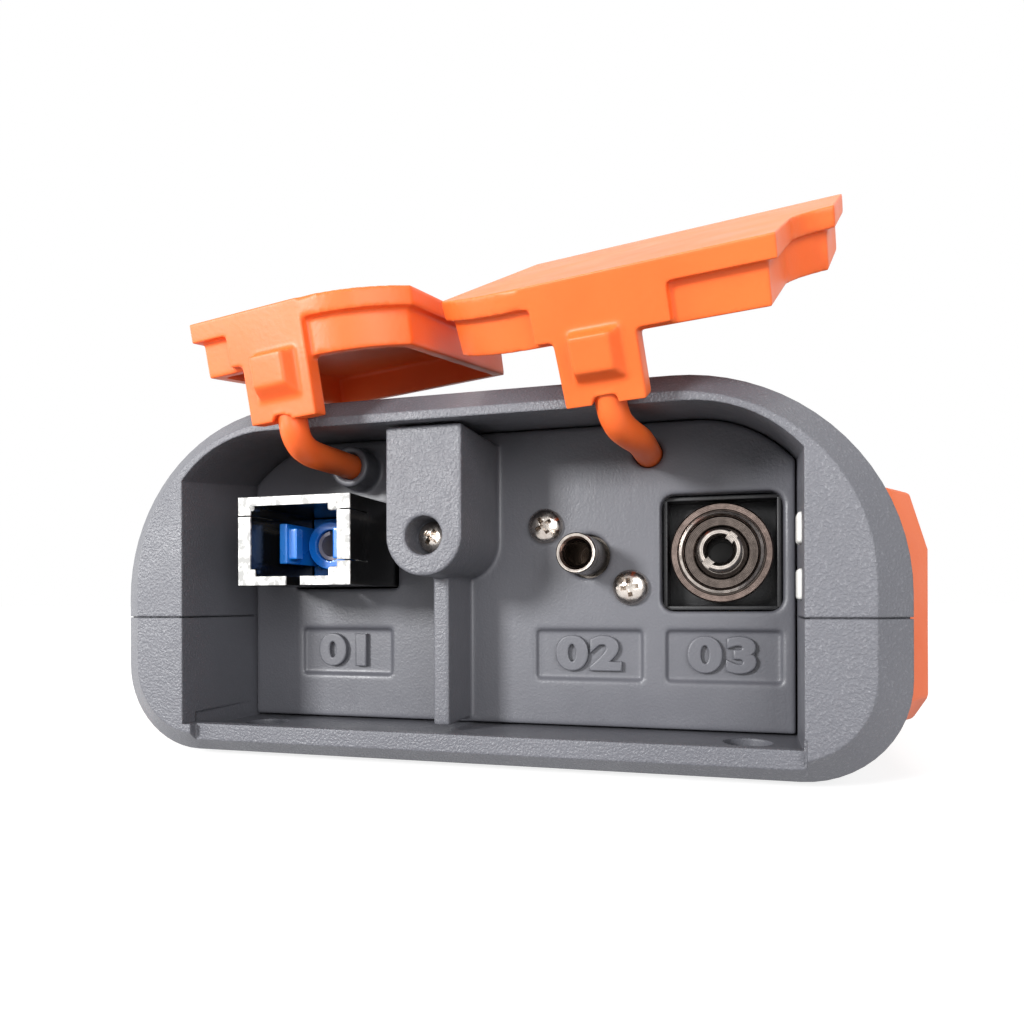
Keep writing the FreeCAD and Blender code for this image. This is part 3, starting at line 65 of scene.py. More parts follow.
# ---------------------------------------------------------------------------------- materials
def new_material(name):
    """Empty node material with its shader, output and object coordinates."""
    material = bpy.data.materials.new(name)
    material.use_nodes = True
    tree = material.node_tree
    shader = tree.nodes["Principled BSDF"]
    coords = tree.nodes.new("ShaderNodeTexCoord")
    return material, tree, shader, coords.outputs["Object"]


def noise(tree, coords, size, detail=3.0, stretch=(1, 1, 1), seed=0.0):
    """Noise with features about size metres across, longer along an axis where stretch is small."""
    mapping = tree.nodes.new("ShaderNodeMapping")
    mapping.inputs["Scale"].default_value = stretch
    mapping.inputs["Location"].default_value = (seed, seed, seed)
    tree.links.new(coords, mapping.inputs["Vector"])
    node = tree.nodes.new("ShaderNodeTexNoise")
    node.inputs["Scale"].default_value = 1.0 / size
    node.inputs["Detail"].default_value = detail
    tree.links.new(mapping.outputs["Vector"], node.inputs["Vector"])
    return node.outputs["Fac"]


def ramp(tree, factor, low, high, start=0.35, end=0.65):
    """Two colours that a factor runs between."""
    node = tree.nodes.new("ShaderNodeValToRGB")
    node.color_ramp.elements[0].position = start
    node.color_ramp.elements[1].position = end
    node.color_ramp.elements[0].color = (*low, 1)
    node.color_ramp.elements[1].color = (*high, 1)
    tree.links.new(factor, node.inputs["Fac"])
    return node.outputs["Color"]


def span(tree, factor, low, high, start=0.3, end=0.7):
    """A factor brought to the range low to high."""
    node = tree.nodes.new("ShaderNodeMapRange")
    node.inputs["From Min"].default_value = start
    node.inputs["From Max"].default_value = end
    node.inputs["To Min"].default_value = low
    node.inputs["To Max"].default_value = high
    tree.links.new(factor, node.inputs["Value"])
    return node.outputs["Result"]


def mixed(tree, factor, first, second, kind="MIX"):
    """Second colour blended over the first, by a factor that varies, or in full where it is None."""
    node = tree.nodes.new("ShaderNodeMix")
    node.data_type = "RGBA"
    node.blend_type = kind
    if factor is None:
        node.inputs["Factor"].default_value = 1.0
    else:
        tree.links.new(factor, node.inputs["Factor"])
    tree.links.new(first, node.inputs["A"])
    tree.links.new(second, node.inputs["B"])
    return node.outputs["Result"]


def paired(tree, operation, first, second):
    """One number worked out from two."""
    node = tree.nodes.new("ShaderNodeMath")
    node.operation = operation
    tree.links.new(first, node.inputs[0])
    tree.links.new(second, node.inputs[1])
    return node.outputs["Value"]


def split(tree, coords):
    """The X, Y and Z of a position, as sockets by name."""
    node = tree.nodes.new("ShaderNodeSeparateXYZ")
    tree.links.new(coords, node.inputs["Vector"])
    return node.outputs


def relief(tree, height, depth, under=None):
    """Surface relief of depth metres, laid over the relief under it."""
    node = tree.nodes.new("ShaderNodeBump")
    node.inputs["Distance"].default_value = depth
    tree.links.new(height, node.inputs["Height"])
    if under is not None:
        tree.links.new(under, node.inputs["Normal"])
    return node.outputs["Normal"]


def finish(name, dark, light, rough, grain=0.0003, depth=0.00002, patch=0.012, wave=0.0, **constant):
    """A surface whose colour drifts from dark to light over patch metres.

    rough is its (lowest, highest) roughness, grain and depth are the size and height of its fine
    texture, wave is the height of a slow unevenness, and constant holds shader sockets by name.
    """
    material, tree, shader, coords = new_material(name)
    drift = ramp(tree, noise(tree, coords, patch, 4.0), dark, light)
    tree.links.new(drift, shader.inputs["Base Color"])
    fine = noise(tree, coords, grain, 2.0, seed=3.0)
    sheen = noise(tree, coords, patch * 0.4, 5.0, seed=7.0)
    tree.links.new(span(tree, sheen, *rough), shader.inputs["Roughness"])
    under = relief(tree, noise(tree, coords, 0.006, 1.0, seed=5.0), wave) if wave else None
    tree.links.new(relief(tree, fine, depth, under), shader.inputs["Normal"])
    for socket, number in constant.items():
        shader.inputs[socket.replace("_", " ")].default_value = number
    return material


def rounded_edges(tree, radius):
    """Normal that rounds off every edge by a small radius."""
    node = tree.nodes.new("ShaderNodeBevel")
    node.samples = 6
    node.inputs["Radius"].default_value = radius
    return node.outputs["Normal"]


def spark_finish(name, dark, light, grain, depth, rough, glint_speck, edge, reach):
    """Spark-eroded plastic: pits of size grain and depth, pale specks on their rims painted as glints, soft
    edges.

    The surface in front of the Y range reach is coarse and carries the painted glints, and the mould is
    smoother behind it.
    """
    material, tree, shader, coords = new_material(name)
    base = ramp(tree, noise(tree, coords, 0.02, 4.0), dark, light)
    pits = noise(tree, coords, grain, 2.5, seed=2.0)
    # Pale specks added to the base colour are painted glints, strongest on the front faces.
    painted_glints = ramp(tree, pits, (0, 0, 0), glint_speck, 0.57, 0.74)
    along = split(tree, coords)["Y"]
    base_and_glints = mixed(tree, span(tree, along, 1.0, 0.08, *reach), base, painted_glints, "ADD")
    tree.links.new(base_and_glints, shader.inputs["Base Color"])
    tree.links.new(span(tree, noise(tree, coords, 0.004, 5.0, seed=7.0), *rough), shader.inputs["Roughness"])
    scratch = noise(tree, coords, 0.0016, 6.0, (1, 1, 0.25), 9.0)
    under = relief(tree, scratch, depth * 0.35, rounded_edges(tree, edge))
    rough_relief = relief(tree, pits, depth, under)
    tree.links.new(rough_relief, shader.inputs["Normal"])
    tree.links.new(span(tree, along, 1.0, 0.3, *reach), rough_relief.node.inputs["Strength"])
    return material


def rim_finish(name, front, rim, body, line):
    """Plated adapter: pale plating on faces at station front, its brightness a painted highlight, black
    gloss with faint lines behind.
    """
    material, tree, shader, coords = new_material(name)
    ragged = span(tree, noise(tree, coords, 0.0005, 4.0), -0.0001, 0.0001, 0.0, 1.0)
    behind = paired(tree, "ADD", split(tree, coords)["Y"], ragged)
    back = span(tree, behind, 0.0, 1.0, front + 0.00012, front + 0.00022)
    # Pale rim colour: plating whose brightness is a painted highlight standing in for the plated front's
    # reflection.
    plating_highlight = ramp(tree, noise(tree, coords, 0.0007, 6.0), *rim, 0.40, 0.58)
    lined = ramp(tree, noise(tree, coords, 0.0012, 3.0, (1, 0.12, 1), 4.0), body, line, 0.55, 0.72)
    tree.links.new(mixed(tree, back, plating_highlight, lined), shader.inputs["Base Color"])
    tree.links.new(span(tree, back, 0.5, 0.16, 0.0, 1.0), shader.inputs["Roughness"])
    under = rounded_edges(tree, 0.00008)
    tree.links.new(relief(tree, noise(tree, coords, 0.0004, 3.0), 0.00002, under), shader.inputs["Normal"])
    return material


RINGS_PER_METRE = math.pi / 10  # Wave Texture scale that gives one ring per metre


def turned_finish(name, bands, rough, pitch, depth, centre):
    """Lathe-turned metal: bands of colour by radius round an axis along Y through centre (x, z).

    bands is a list of (radius in millimetres, colour); fine rings of one pitch run over them.
    """
    material, tree, shader, coords = new_material(name)
    mapping = tree.nodes.new("ShaderNodeMapping")
    mapping.inputs["Location"].default_value = (-centre[0], 0, -centre[1])
    tree.links.new(coords, mapping.inputs["Vector"])
    flat = tree.nodes.new("ShaderNodeVectorMath")
    flat.operation = "MULTIPLY"
    flat.inputs[1].default_value = (1, 0, 1)
    tree.links.new(mapping.outputs["Vector"], flat.inputs[0])
    radius = tree.nodes.new("ShaderNodeVectorMath")
    radius.operation = "LENGTH"
    tree.links.new(flat.outputs["Vector"], radius.inputs[0])
    furthest = bands[-1][0]
    stops = tree.nodes.new("ShaderNodeValToRGB")
    elements = stops.color_ramp.elements
    while len(elements) < len(bands):
        elements.new(0.5)
    for element, (at, colour) in zip(elements, bands):
        element.position = at / furthest
        element.color = (*colour, 1)
    tree.links.new(span(tree, radius.outputs["Value"], 0.0, 1.0, 0.0, furthest * MM), stops.inputs["Fac"])
    worn = ramp(tree, noise(tree, coords, 0.0007, 5.0), (0.72, 0.72, 0.72), (1.15, 1.15, 1.15))
    tree.links.new(mixed(tree, None, stops.outputs["Color"], worn, "MULTIPLY"), shader.inputs["Base Color"])
    rings = tree.nodes.new("ShaderNodeTexWave")
    rings.wave_type = "RINGS"
    rings.rings_direction = "Y"
    rings.inputs["Scale"].default_value = RINGS_PER_METRE / pitch
    rings.inputs["Distortion"].default_value = 0.6
    tree.links.new(mapping.outputs["Vector"], rings.inputs["Vector"])
    tree.links.new(span(tree, rings.outputs["Fac"], *rough, 0.0, 1.0), shader.inputs["Roughness"])
    grains = noise(tree, coords, 0.00022, 3.0)
    tree.links.new(relief(tree, rings.outputs["Fac"], depth, relief(tree, grains, depth * 4)),
                   shader.inputs["Normal"])
    shader.inputs["Metallic"].default_value = 1.0
    return material


def screen_finish(name, window):
    """Cover glass: black printed border, and a dark display in the window between two corners."""
    material, tree, shader, coords = new_material(name)
    place = split(tree, coords)
    inside = None
    for operation, corner in zip(("GREATER_THAN", "LESS_THAN"), window):
        for axis, edge in zip("XY", corner):
            side = tree.nodes.new("ShaderNodeMath")
            side.operation = operation
            side.inputs[1].default_value = edge
            tree.links.new(place[axis], side.inputs[0])
            within = side.outputs["Value"]
            inside = paired(tree, "MULTIPLY", inside, within) if inside else within
    border = ramp(tree, noise(tree, coords, 0.02), (0.004, 0.004, 0.005), (0.006, 0.006, 0.007))
    display = ramp(tree, noise(tree, coords, 0.03), (0.026, 0.030, 0.034), (0.034, 0.038, 0.043))
    tree.links.new(mixed(tree, inside, border, display), shader.inputs["Base Color"])
    tree.links.new(span(tree, noise(tree, coords, 0.008, 5.0), 0.04, 0.12), shader.inputs["Roughness"])
    shader.inputs["Coat Weight"].default_value = 1.0
    shader.inputs["Coat Roughness"].default_value = 0.03
    return material


def board_finish(name):
    """Green solder mask over faint copper tracks."""
    material, tree, shader, coords = new_material(name)
    tracks = tree.nodes.new("ShaderNodeTexBrick")
    tracks.inputs["Scale"].default_value = 260.0
    tracks.inputs["Color1"].default_value = (0.010, 0.12, 0.06, 1)
    tracks.inputs["Color2"].default_value = (0.014, 0.15, 0.075, 1)
    tracks.inputs["Mortar"].default_value = (0.03, 0.26, 0.12, 1)
    tracks.inputs["Mortar Size"].default_value = 0.03
    tree.links.new(coords, tracks.inputs["Vector"])
    tree.links.new(tracks.outputs["Color"], shader.inputs["Base Color"])
    tree.links.new(span(tree, noise(tree, coords, 0.003), 0.25, 0.4), shader.inputs["Roughness"])
    tree.links.new(relief(tree, tracks.outputs["Fac"], 0.00003), shader.inputs["Normal"])
    return material


def middle(node):
    """Centre (x, z) of a node, seen from the port end."""
    low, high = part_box(node)
    return (low.x + high.x) / 2, (low.z + high.z) / 2


def stations(node):
    """Front and back of a node along Y, in millimetres."""
    low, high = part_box(node)
    return low.y / MM, high.y / MM


VFL = middle("vfl_port")
OPM = middle("opm_port")
SC_FRONT = stations("sc_adapter_shell")[0]
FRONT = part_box("top_shell")[0].y
PANEL_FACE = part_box("port_panel")[1].y - 2.5 * MM
LCD_LOW, LCD_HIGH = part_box("lcd_module")
BORDER_X, BORDER_Y = 1.8 * MM, 2.2 * MM
WINDOW = ((LCD_LOW.x + BORDER_X, LCD_LOW.y + BORDER_Y), (LCD_HIGH.x - BORDER_X, LCD_HIGH.y - BORDER_Y))

# Port bands: the dark bands in the bores, the sunken floor and the groove are painted shade, and the bright
# bands on the raised lip and tube fronts are painted highlights. MID and BROWN are the metal's own tones.
SUNKEN_SHADE = (0.030, 0.024, 0.021)
MID = (0.125, 0.102, 0.090)
BROWN = (0.21, 0.160, 0.140)
RAISED_HIGHLIGHT = (0.50, 0.45, 0.41)
VFL_BANDS = [(0.0, SUNKEN_SHADE), (1.2, (0.22, 0.20, 0.19)), (1.5, RAISED_HIGHLIGHT), (2.1, RAISED_HIGHLIGHT), (2.25, SUNKEN_SHADE),
             (2.75, SUNKEN_SHADE), (2.85, MID), (3.68, MID), (3.78, BROWN), (3.95, RAISED_HIGHLIGHT), (4.28, RAISED_HIGHLIGHT),
             (4.36, SUNKEN_SHADE), (4.55, BROWN), (5.2, BROWN)]
# The near-black bore colours of the power meter port are painted shade, and its bright front face is a
# painted highlight.
OPM_BANDS = [(0.0, (0.010, 0.008, 0.006)), (1.2, (0.07, 0.052, 0.040)), (1.32, MID), (1.62, BROWN),
             (1.78, RAISED_HIGHLIGHT), (2.1, (0.30, 0.265, 0.235))]
# The colour after each spark finish's roughness range is the colour of its painted glints.
FINISH = {
    "shell_grey": spark_finish("shell_grey", (0.108, 0.110, 0.126), (0.124, 0.126, 0.143),
                               0.00024, 0.00010, (0.34, 0.48), (0.06, 0.06, 0.062), 0.00030,
                               (FRONT + 3.0 * MM, FRONT + 6.0 * MM)),
    "panel_grey": spark_finish("panel_grey", (0.102, 0.103, 0.118), (0.118, 0.120, 0.136),
                               0.00024, 0.00009, (0.34, 0.46), (0.06, 0.06, 0.062), 0.00012,
                               (FRONT + 4.0 * MM, FRONT + 9.0 * MM)),
    "orange_rubber": finish("orange_rubber", (0.92, 0.140, 0.022), (0.97, 0.165, 0.030), (0.38, 0.50),
                            0.00045, 0.000018, 0.015, 0.00006, Subsurface_Weight=0.12,
                            Subsurface_Scale=0.0012, Specular_IOR_Level=0.42),
    "grip_rubber": finish("grip_rubber", (0.80, 0.150, 0.045), (0.87, 0.185, 0.06), (0.5, 0.62),
                          0.00035, 0.00003, 0.015),
    "black_rubber": finish("black_rubber", (0.022, 0.022, 0.024), (0.034, 0.034, 0.036), (0.6, 0.75),
                           0.0003, 0.00003),
    "key_rubber": finish("key_rubber", (0.050, 0.053, 0.060), (0.066, 0.069, 0.077), (0.5, 0.62),
                         0.00022, 0.00003),
    # The nickel rim colours carry a painted highlight of the plated front.
    "nickel": rim_finish("nickel", SC_FRONT * MM, ((0.34, 0.34, 0.33), (0.80, 0.80, 0.78)),
                         (0.006, 0.006, 0.006), (0.035, 0.032, 0.028)),
    "steel_screw": finish("steel_screw", (0.42, 0.37, 0.33), (0.66, 0.61, 0.56), (0.14, 0.30),
                          0.0004, 0.00002, 0.0012, Metallic=1.0),
    "warm_metal": turned_finish("warm_metal", VFL_BANDS, (0.18, 0.32), 0.00016, 0.0000015, VFL),
    "blue_plastic": finish("blue_plastic", (0.006, 0.17, 0.66), (0.012, 0.22, 0.74), (0.2, 0.34),
                           0.0006, 0.00001, Coat_Weight=0.3),
    # The ceramic sleeve is darker than its own white: painted shade, as it sits deep inside the adapter.
    "ceramic": finish("ceramic", (0.25, 0.235, 0.27), (0.33, 0.31, 0.35), (0.12, 0.22), 0.0005, 0.000004),
    "black_plastic": finish("black_plastic", (0.0045, 0.0045, 0.0055), (0.008, 0.008, 0.0095), (0.38, 0.5),
                            0.0003, 0.00002),
    "lens_glass": screen_finish("lens_glass", WINDOW),
    "circuit_board": board_finish("circuit_board"),
    "chip_black": finish("chip_black", (0.020, 0.020, 0.021), (0.032, 0.032, 0.033), (0.5, 0.65),
                         0.0002, 0.00001),
    "tin_can": finish("tin_can", (0.58, 0.58, 0.56), (0.70, 0.70, 0.68), (0.28, 0.42), 0.0005, 0.00001,
                      Metallic=1.0),
    "foam": finish("foam", (0.020, 0.020, 0.022), (0.040, 0.040, 0.043), (0.85, 0.95), 0.0004, 0.0001),
    "cell_wrap": finish("cell_wrap", (0.020, 0.12, 0.42), (0.030, 0.16, 0.50), (0.2, 0.32), 0.002, 0.00003),
    "fibre_yellow": finish("fibre_yellow", (0.78, 0.52, 0.03), (0.86, 0.60, 0.05), (0.35, 0.45),
                           0.0004, 0.00001),
    "brass": finish("brass", (0.66, 0.47, 0.20), (0.78, 0.58, 0.28), (0.22, 0.34), 0.0005, 0.00001,
                    Metallic=1.0),
    "white_plastic": finish("white_plastic", (0.70, 0.70, 0.67), (0.80, 0.80, 0.77), (0.38, 0.5),
                            0.0003, 0.00001),
    "flex_orange": finish("flex_orange", (0.42, 0.16, 0.02), (0.55, 0.24, 0.04), (0.25, 0.35),
                          0.001, 0.00001),
    "light_pipe": finish("light_pipe", (0.55, 0.64, 0.56), (0.66, 0.75, 0.66), (0.12, 0.2), 0.0004, 0.00001,
                         Transmission_Weight=0.5),
}
OPM_METAL = turned_finish("opm_metal", OPM_BANDS, (0.18, 0.32), 0.00020, 0.000002, OPM)
SLOT_OF = {part["node"]: part["material_slot"] for part in frame["record"]["subparts"]}


def dress(obj, material):
    """Make a material the only one of an object."""
    obj.data.materials.clear()
    obj.data.materials.append(material)


for node_name, node_object in NODES.items():
    dress(node_object, FINISH[SLOT_OF[node_name]])


# ------------------------------------------------------------------------------ softened edges
SEAM = 0.002 * MM
SHARP_DEGREES = 28.0


def soften(obj, width):
    """Round a moulded node's edges a little, as modifiers over its own mesh."""
    weld = obj.modifiers.new("weld", "WELD")
    weld.merge_threshold = SEAM
    merge = obj.modifiers.new("flat", "DECIMATE")
    merge.decimate_type = "DISSOLVE"
    merge.angle_limit = math.radians(0.4)
    edge = obj.modifiers.new("edge", "BEVEL")
    edge.width = width
    edge.segments = 2
    edge.limit_method = "ANGLE"
    edge.angle_limit = math.radians(SHARP_DEGREES)
    edge.use_clamp_overlap = False
    edge.miter_outer = "MITER_ARC"
    shade = obj.modifiers.new("shade", "WEIGHTED_NORMAL")
    shade.keep_sharp = False


EDGE_RADII = {"side_grip_left": 0.3, "side_grip_right": 0.3, "screen_lens": 0.12, "usb_cover": 0.15}
for node_name, edge_radius in EDGE_RADII.items():
    soften(NODES[node_name], edge_radius * MM)


# --------------------------------------------------------------------------------- mesh pieces
def placed(name, data):
    """New object in the scene."""
    obj = bpy.data.objects.new(name, data)
    bpy.context.scene.collection.objects.link(obj)
    return obj


def piece(name, mesh, body, slot, smooth=None):
    """A finished mesh as an object with the finish of a slot, riding on a body unless it is None.

    Edges sharper than smooth degrees stay sharp; without it the whole mesh is smooth.
    """
    obj = placed(name, mesh)
    mesh.shade_smooth()
    if smooth:
        mesh.set_sharp_from_angle(angle=math.radians(smooth))
    dress(obj, FINISH[slot])
    if body:
        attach(obj, body)
    return obj


def mesh_of(bm, name):
    """Turn a bmesh into mesh data and free it."""
    mesh = bpy.data.meshes.new(name)
    bmesh.ops.recalc_face_normals(bm, faces=bm.faces)
    bm.to_mesh(mesh)
    bm.free()
    return mesh


def applied(obj):
    """The object's mesh with its modifiers applied; the object is removed."""
    bpy.context.view_layer.update()
    shape = bpy.data.meshes.new_from_object(obj.evaluated_get(bpy.context.evaluated_depsgraph_get()))
    bpy.data.objects.remove(obj)
    return shape


def block(bm, back, front):
    """Closed block between two four-cornered ends, whose corners go round in the same order."""
    corners = [bm.verts.new(place) for place in [*back, *front]]
    for face in ((0, 1, 2, 3), (4, 7, 6, 5), (0, 4, 5, 1), (1, 5, 6, 2), (2, 6, 7, 3), (3, 7, 4, 0)):
        bm.faces.new([corners[i] for i in face])


def welded(name):
    """A node's solid as an editable mesh whose faces share their corners."""
    bm = bmesh.new()
    bm.from_mesh(NODES[name].data)
    bmesh.ops.remove_doubles(bm, verts=bm.verts, dist=0.001 * MM)
    return bm


def skinned(bm, name, voxel, passes):
    """The mesh moulded into one skin of voxel-sized faces, its edges relaxed by some passes."""
    raw = placed(name, mesh_of(bm, name))
    skin = raw.modifiers.new("skin", "REMESH")
    skin.mode = "VOXEL"
    skin.voxel_size = voxel
    skin.use_smooth_shade = True
    relax = raw.modifiers.new("relax", "SMOOTH")
    relax.factor = 0.5
    relax.iterations = passes
    return applied(raw)


# -------------------------------------------------------------------------------- rubber caps
TETHER_R = 1.4 * MM
# Where each cap lies and how it leans (pitch, roll, yaw), and the eye (x, z) its tether goes into,
# in millimetres and degrees.
CAPS = {
    "otdr": {"place": (-16.83, -84.03, 44.13), "lean": (8.65, -4.4, -4.76), "eye": (-16.8, 31.8)},
    "meter": {"place": (13.62, -85.85, 42.67), "lean": (28.62, -1.28, -9.62), "eye": (16.4, 32.0)},
}
TAB_LENGTH = 10.6 * MM
TAB_THICK = 1.9 * MM
THUMB_BLOCK = Vector((-2.2, -1.25, -9.2)) * MM, Vector((2.9, 0.6, -4.2)) * MM
THUMB_SLOPES = [slope * MM for slope in (0.25, 1.25, 1.7, 0.35)]
CAP_VOXEL = 0.2 * MM


def cap_frame(cap):
    """Matrix from a cap's own frame, where its outer face is z = 0, to the part's frame."""
    pitch, roll, yaw = (math.radians(a) for a in cap["lean"])
    turn = Matrix.Rotation(yaw, 4, "Z") @ Matrix.Rotation(roll, 4, "Y") @ Matrix.Rotation(pitch, 4, "X")
    return Matrix.Translation(Vector(cap["place"]) * MM) @ turn


def frustum(bm, low, high, shrink):
    """Closed block from low to high whose -Y face is smaller by shrink (left, right, bottom, top)."""
    left, right, bottom, top = shrink

    def end(y, x0, x1, z0, z1):
        return (x0, y, z0), (x1, y, z0), (x1, y, z1), (x0, y, z1)

    block(bm, end(high.y, low.x, high.x, low.z, high.z),
          end(low.y, low.x + left, high.x - right, low.z + bottom, high.z - top))


def moulded_cap(name, cap):
    """The cap in soft rubber: its solid with a sloped thumb block, moulded into one skin."""
    place = cap_frame(cap)
    bm = welded(name + "_cap")
    bmesh.ops.transform(bm, matrix=place.inverted(), verts=bm.verts)
    for vert in bm.verts:
        on_thumb_block = vert.co.y < -0.1 * MM and -9.0 * MM < vert.co.z < -4.0 * MM
        if on_thumb_block:
            vert.co.y = 0.3 * MM
        on_tether_stub = vert.co.z < -TAB_LENGTH - 0.02 * MM
        if on_tether_stub:
            vert.co.z = -TAB_LENGTH + 0.6 * MM
            vert.co.y = TAB_THICK / 2
    frustum(bm, *THUMB_BLOCK, THUMB_SLOPES)
    mesh = skinned(bm, name + "_raw", CAP_VOXEL, 5)
    mesh.transform(place)
    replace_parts(piece(name + "_cap_skin", mesh, name + "_cap", "orange_rubber"), name + "_cap")


def tether(name, cap):
    """Round rubber cord from inside the tab, in one bend, into its eye in the port panel."""
    place = cap_frame(cap)
    root = place @ Vector((0, TAB_THICK - 0.3 * MM, -TAB_LENGTH + 2.0 * MM))
    down = (place.to_3x3() @ Vector((0, 0, -1))).normalized()
    eye_x, eye_z = (c * MM for c in cap["eye"])
    mouth = Vector((eye_x, PANEL_FACE - 4.2 * MM, eye_z))
    curve = bpy.data.curves.new(name + "_tether_line", "CURVE")
    curve.dimensions = "3D"
    curve.bevel_depth = TETHER_R
    curve.bevel_resolution = 7
    curve.resolution_u = 40
    curve.use_fill_caps = True
    line = curve.splines.new("BEZIER")
    line.bezier_points.add(3)
    inward = Vector((0, 1, 0))
    route = [(root, down, 0.8, 0.8), (root + down * 2.4 * MM, down, 0.8, 3.0), (mouth, inward, 6.4, 1.0),
             (Vector((eye_x, PANEL_FACE + 3.0 * MM, eye_z)), inward, 1.0, 1.0)]
    for point, (at, way, before, after) in zip(line.bezier_points, route):
        point.co = at
        point.handle_left = at - way * before * MM
        point.handle_right = at + way * after * MM
    mesh = applied(placed(name + "_tether_line", curve))
    obj = piece(name + "_tether_skin", mesh, None, "orange_rubber")
    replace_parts(obj, name + "_tether")
    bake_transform(obj)


for cap_name, cap_facts in CAPS.items():
    moulded_cap(cap_name, cap_facts)
    tether(cap_name, cap_facts)


# ------------------------------------------------------------------------------- moulded panel
def moulded(name, voxel, passes, slot):
    """A node moulded into one skin with soft edges, in place of its sharp solid."""
    mesh = skinned(welded(name), name + "_raw", voxel, passes)
    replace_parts(piece(name + "_skin", mesh, "root", slot), name)


moulded("port_panel", 0.18 * MM, 12, "panel_grey")
moulded("sc_adapter_insert", 0.09 * MM, 3, "blue_plastic")


# ---------------------------------------------------------------------------------- turned parts
def lathe(name, profile, x, z, segments):
    """Mesh turned round an axis along Y through (x, z), from (radius, y) points in millimetres."""
    bm = bmesh.new()
    rings = []
    for radius, y in profile:
        turns = [2 * math.pi * i / segments for i in range(segments if radius else 1)]
        rings.append([bm.verts.new((x + radius * MM * math.cos(t), y * MM, z + radius * MM * math.sin(t)))
                      for t in turns])
    for one, two in zip(rings, rings[1:]):
        for i in range(segments):
            j = (i + 1) % segments
            corners = [one[i % len(one)], one[j % len(one)], two[j % len(two)], two[i % len(two)]]
            unique = list(dict.fromkeys(corners))
            if len(unique) > 2:
                bm.faces.new(unique)
    return mesh_of(bm, name)


def carved(mesh, cutters, name):
    """The mesh less the mesh of its cutters, which may cross each other."""
    body = placed(name + "_body", mesh)
    tool = placed(name + "_tool", cutters)
    bite = body.modifiers.new("bite", "BOOLEAN")
    bite.operation = "DIFFERENCE"
    bite.solver = "EXACT"
    bite.use_self = True
    bite.object = tool
    result = applied(body)
    bpy.data.objects.remove(tool)
    return result


def wedge_block(bm, centre, turn, front, back):
    """Tapered block along Y: half sizes (x, z) at its front and back stations (y), in millimetres."""
    ends = []
    for (half_x, half_z), y in (front, back):
        half = [(sx * half_x, sz * half_z) for sx, sz in ((-1, -1), (1, -1), (1, 1), (-1, 1))]
        ends.append([(centre[0] + (px * math.cos(turn) - pz * math.sin(turn)) * MM, y * MM,
                      centre[1] + (px * math.sin(turn) + pz * math.cos(turn)) * MM) for px, pz in half])
    block(bm, *ends)


# Pan-head screws, in millimetres: the CAD head's height, the domed head's, and its upright side.
HEAD_SEAT = 1.3
HEAD_TALL = 1.28
HEAD_SIDE = 0.3
SHANK_RADIUS = 0.8
SHANK_LENGTH = 4.0


def screw_head(name, x, z, front, turn, radius):
    """Domed pan head with a tapered cross recess; the node's screw starts at front (mm)."""
    seat = front + HEAD_SEAT
    quarter = [math.pi / 2 * k / 10 for k in range(11)]
    profile = [(radius * math.sin(a), seat - HEAD_SIDE - (HEAD_TALL - HEAD_SIDE) * math.cos(a))
               for a in quarter]
    profile += [(radius, seat), (SHANK_RADIUS, seat), (SHANK_RADIUS, seat + SHANK_LENGTH),
                (0.0, seat + SHANK_LENGTH)]
    top = seat - HEAD_TALL
    mouth, root = ((0.66 * radius, 0.27), top - 0.3), ((0.26 * radius, 0.16), top + 0.95)
    bm = bmesh.new()
    for angle in (turn, turn + math.pi / 2):
        wedge_block(bm, (x, z), angle, mouth, root)
    return carved(lathe(name, profile, x, z, 64), mesh_of(bm, name + "_cross"), name)


def make_screws():
    """Panel screws with their cross recesses, each turned its own way."""
    low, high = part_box("opm_screws")
    radius = 1.88
    spread, rise = (high.x - low.x) / 2 - radius * MM, (high.z - low.z) / 2 - radius * MM
    x, z = middle("opm_screws")
    bm = bmesh.new()
    for side, turn in ((-1, 0.55), (1, 0.15)):
        bm.from_mesh(screw_head("opm_screw", x + side * spread, z - side * rise, low.y / MM, turn, radius))
    heads = piece("opm_screw_heads", mesh_of(bm, "opm_screw_heads"), "root", "steel_screw", smooth=32)
    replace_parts(heads, "opm_screws")
    mesh = screw_head("panel_screw", *middle("panel_screw"), stations("panel_screw")[0],
                      turn=0.95, radius=1.62)
    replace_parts(piece("panel_screw_head", mesh, "root", "steel_screw", smooth=32), "panel_screw")


make_screws()


def make_vfl_port():
    """Fault locator port: stepped flange, raised ring, grainy disc and slotted ferrule tube."""
    front, back = stations("vfl_port")
    face = PANEL_FACE / MM + 0.8
    seat = PANEL_FACE / MM + 4.3
    tube = [(0.0, back - 1.5), (1.25, back - 1.5), (1.25, front + 0.9), (1.42, front + 0.35),
            (1.62, front), (1.95, front), (2.15, front + 0.18), (2.15, face + 0.5), (2.62, face + 0.5)]
    ring = [(2.74, face - 0.1), (2.84, face - 0.16), (3.66, face - 0.16), (3.72, face - 0.05),
            (3.80, face - 0.62), (3.95, face - 0.78), (4.22, face - 0.66), (4.32, face - 0.30),
            (4.32, face + 0.25), (4.44, face + 0.25)]
    flange = [(4.50, face), (5.05, face), (5.20, face + 0.16), (5.20, face + 0.9), (5.10, face + 1.0),
              (5.20, face + 1.1), (5.20, seat), (2.90, seat), (2.90, back), (0.0, back)]
    mesh = lathe("vfl_port", tube + ring + flange, *VFL, 128)
    bm = bmesh.new()
    wedge_block(bm, VFL, math.radians(48), ((4.0, 0.42), front - 0.5), ((4.0, 0.42), front + 0.8))
    mesh = carved(mesh, mesh_of(bm, "vfl_notch"), "vfl_port")
    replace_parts(piece("vfl_port_turned", mesh, "root", "warm_metal", smooth=28), "vfl_port")


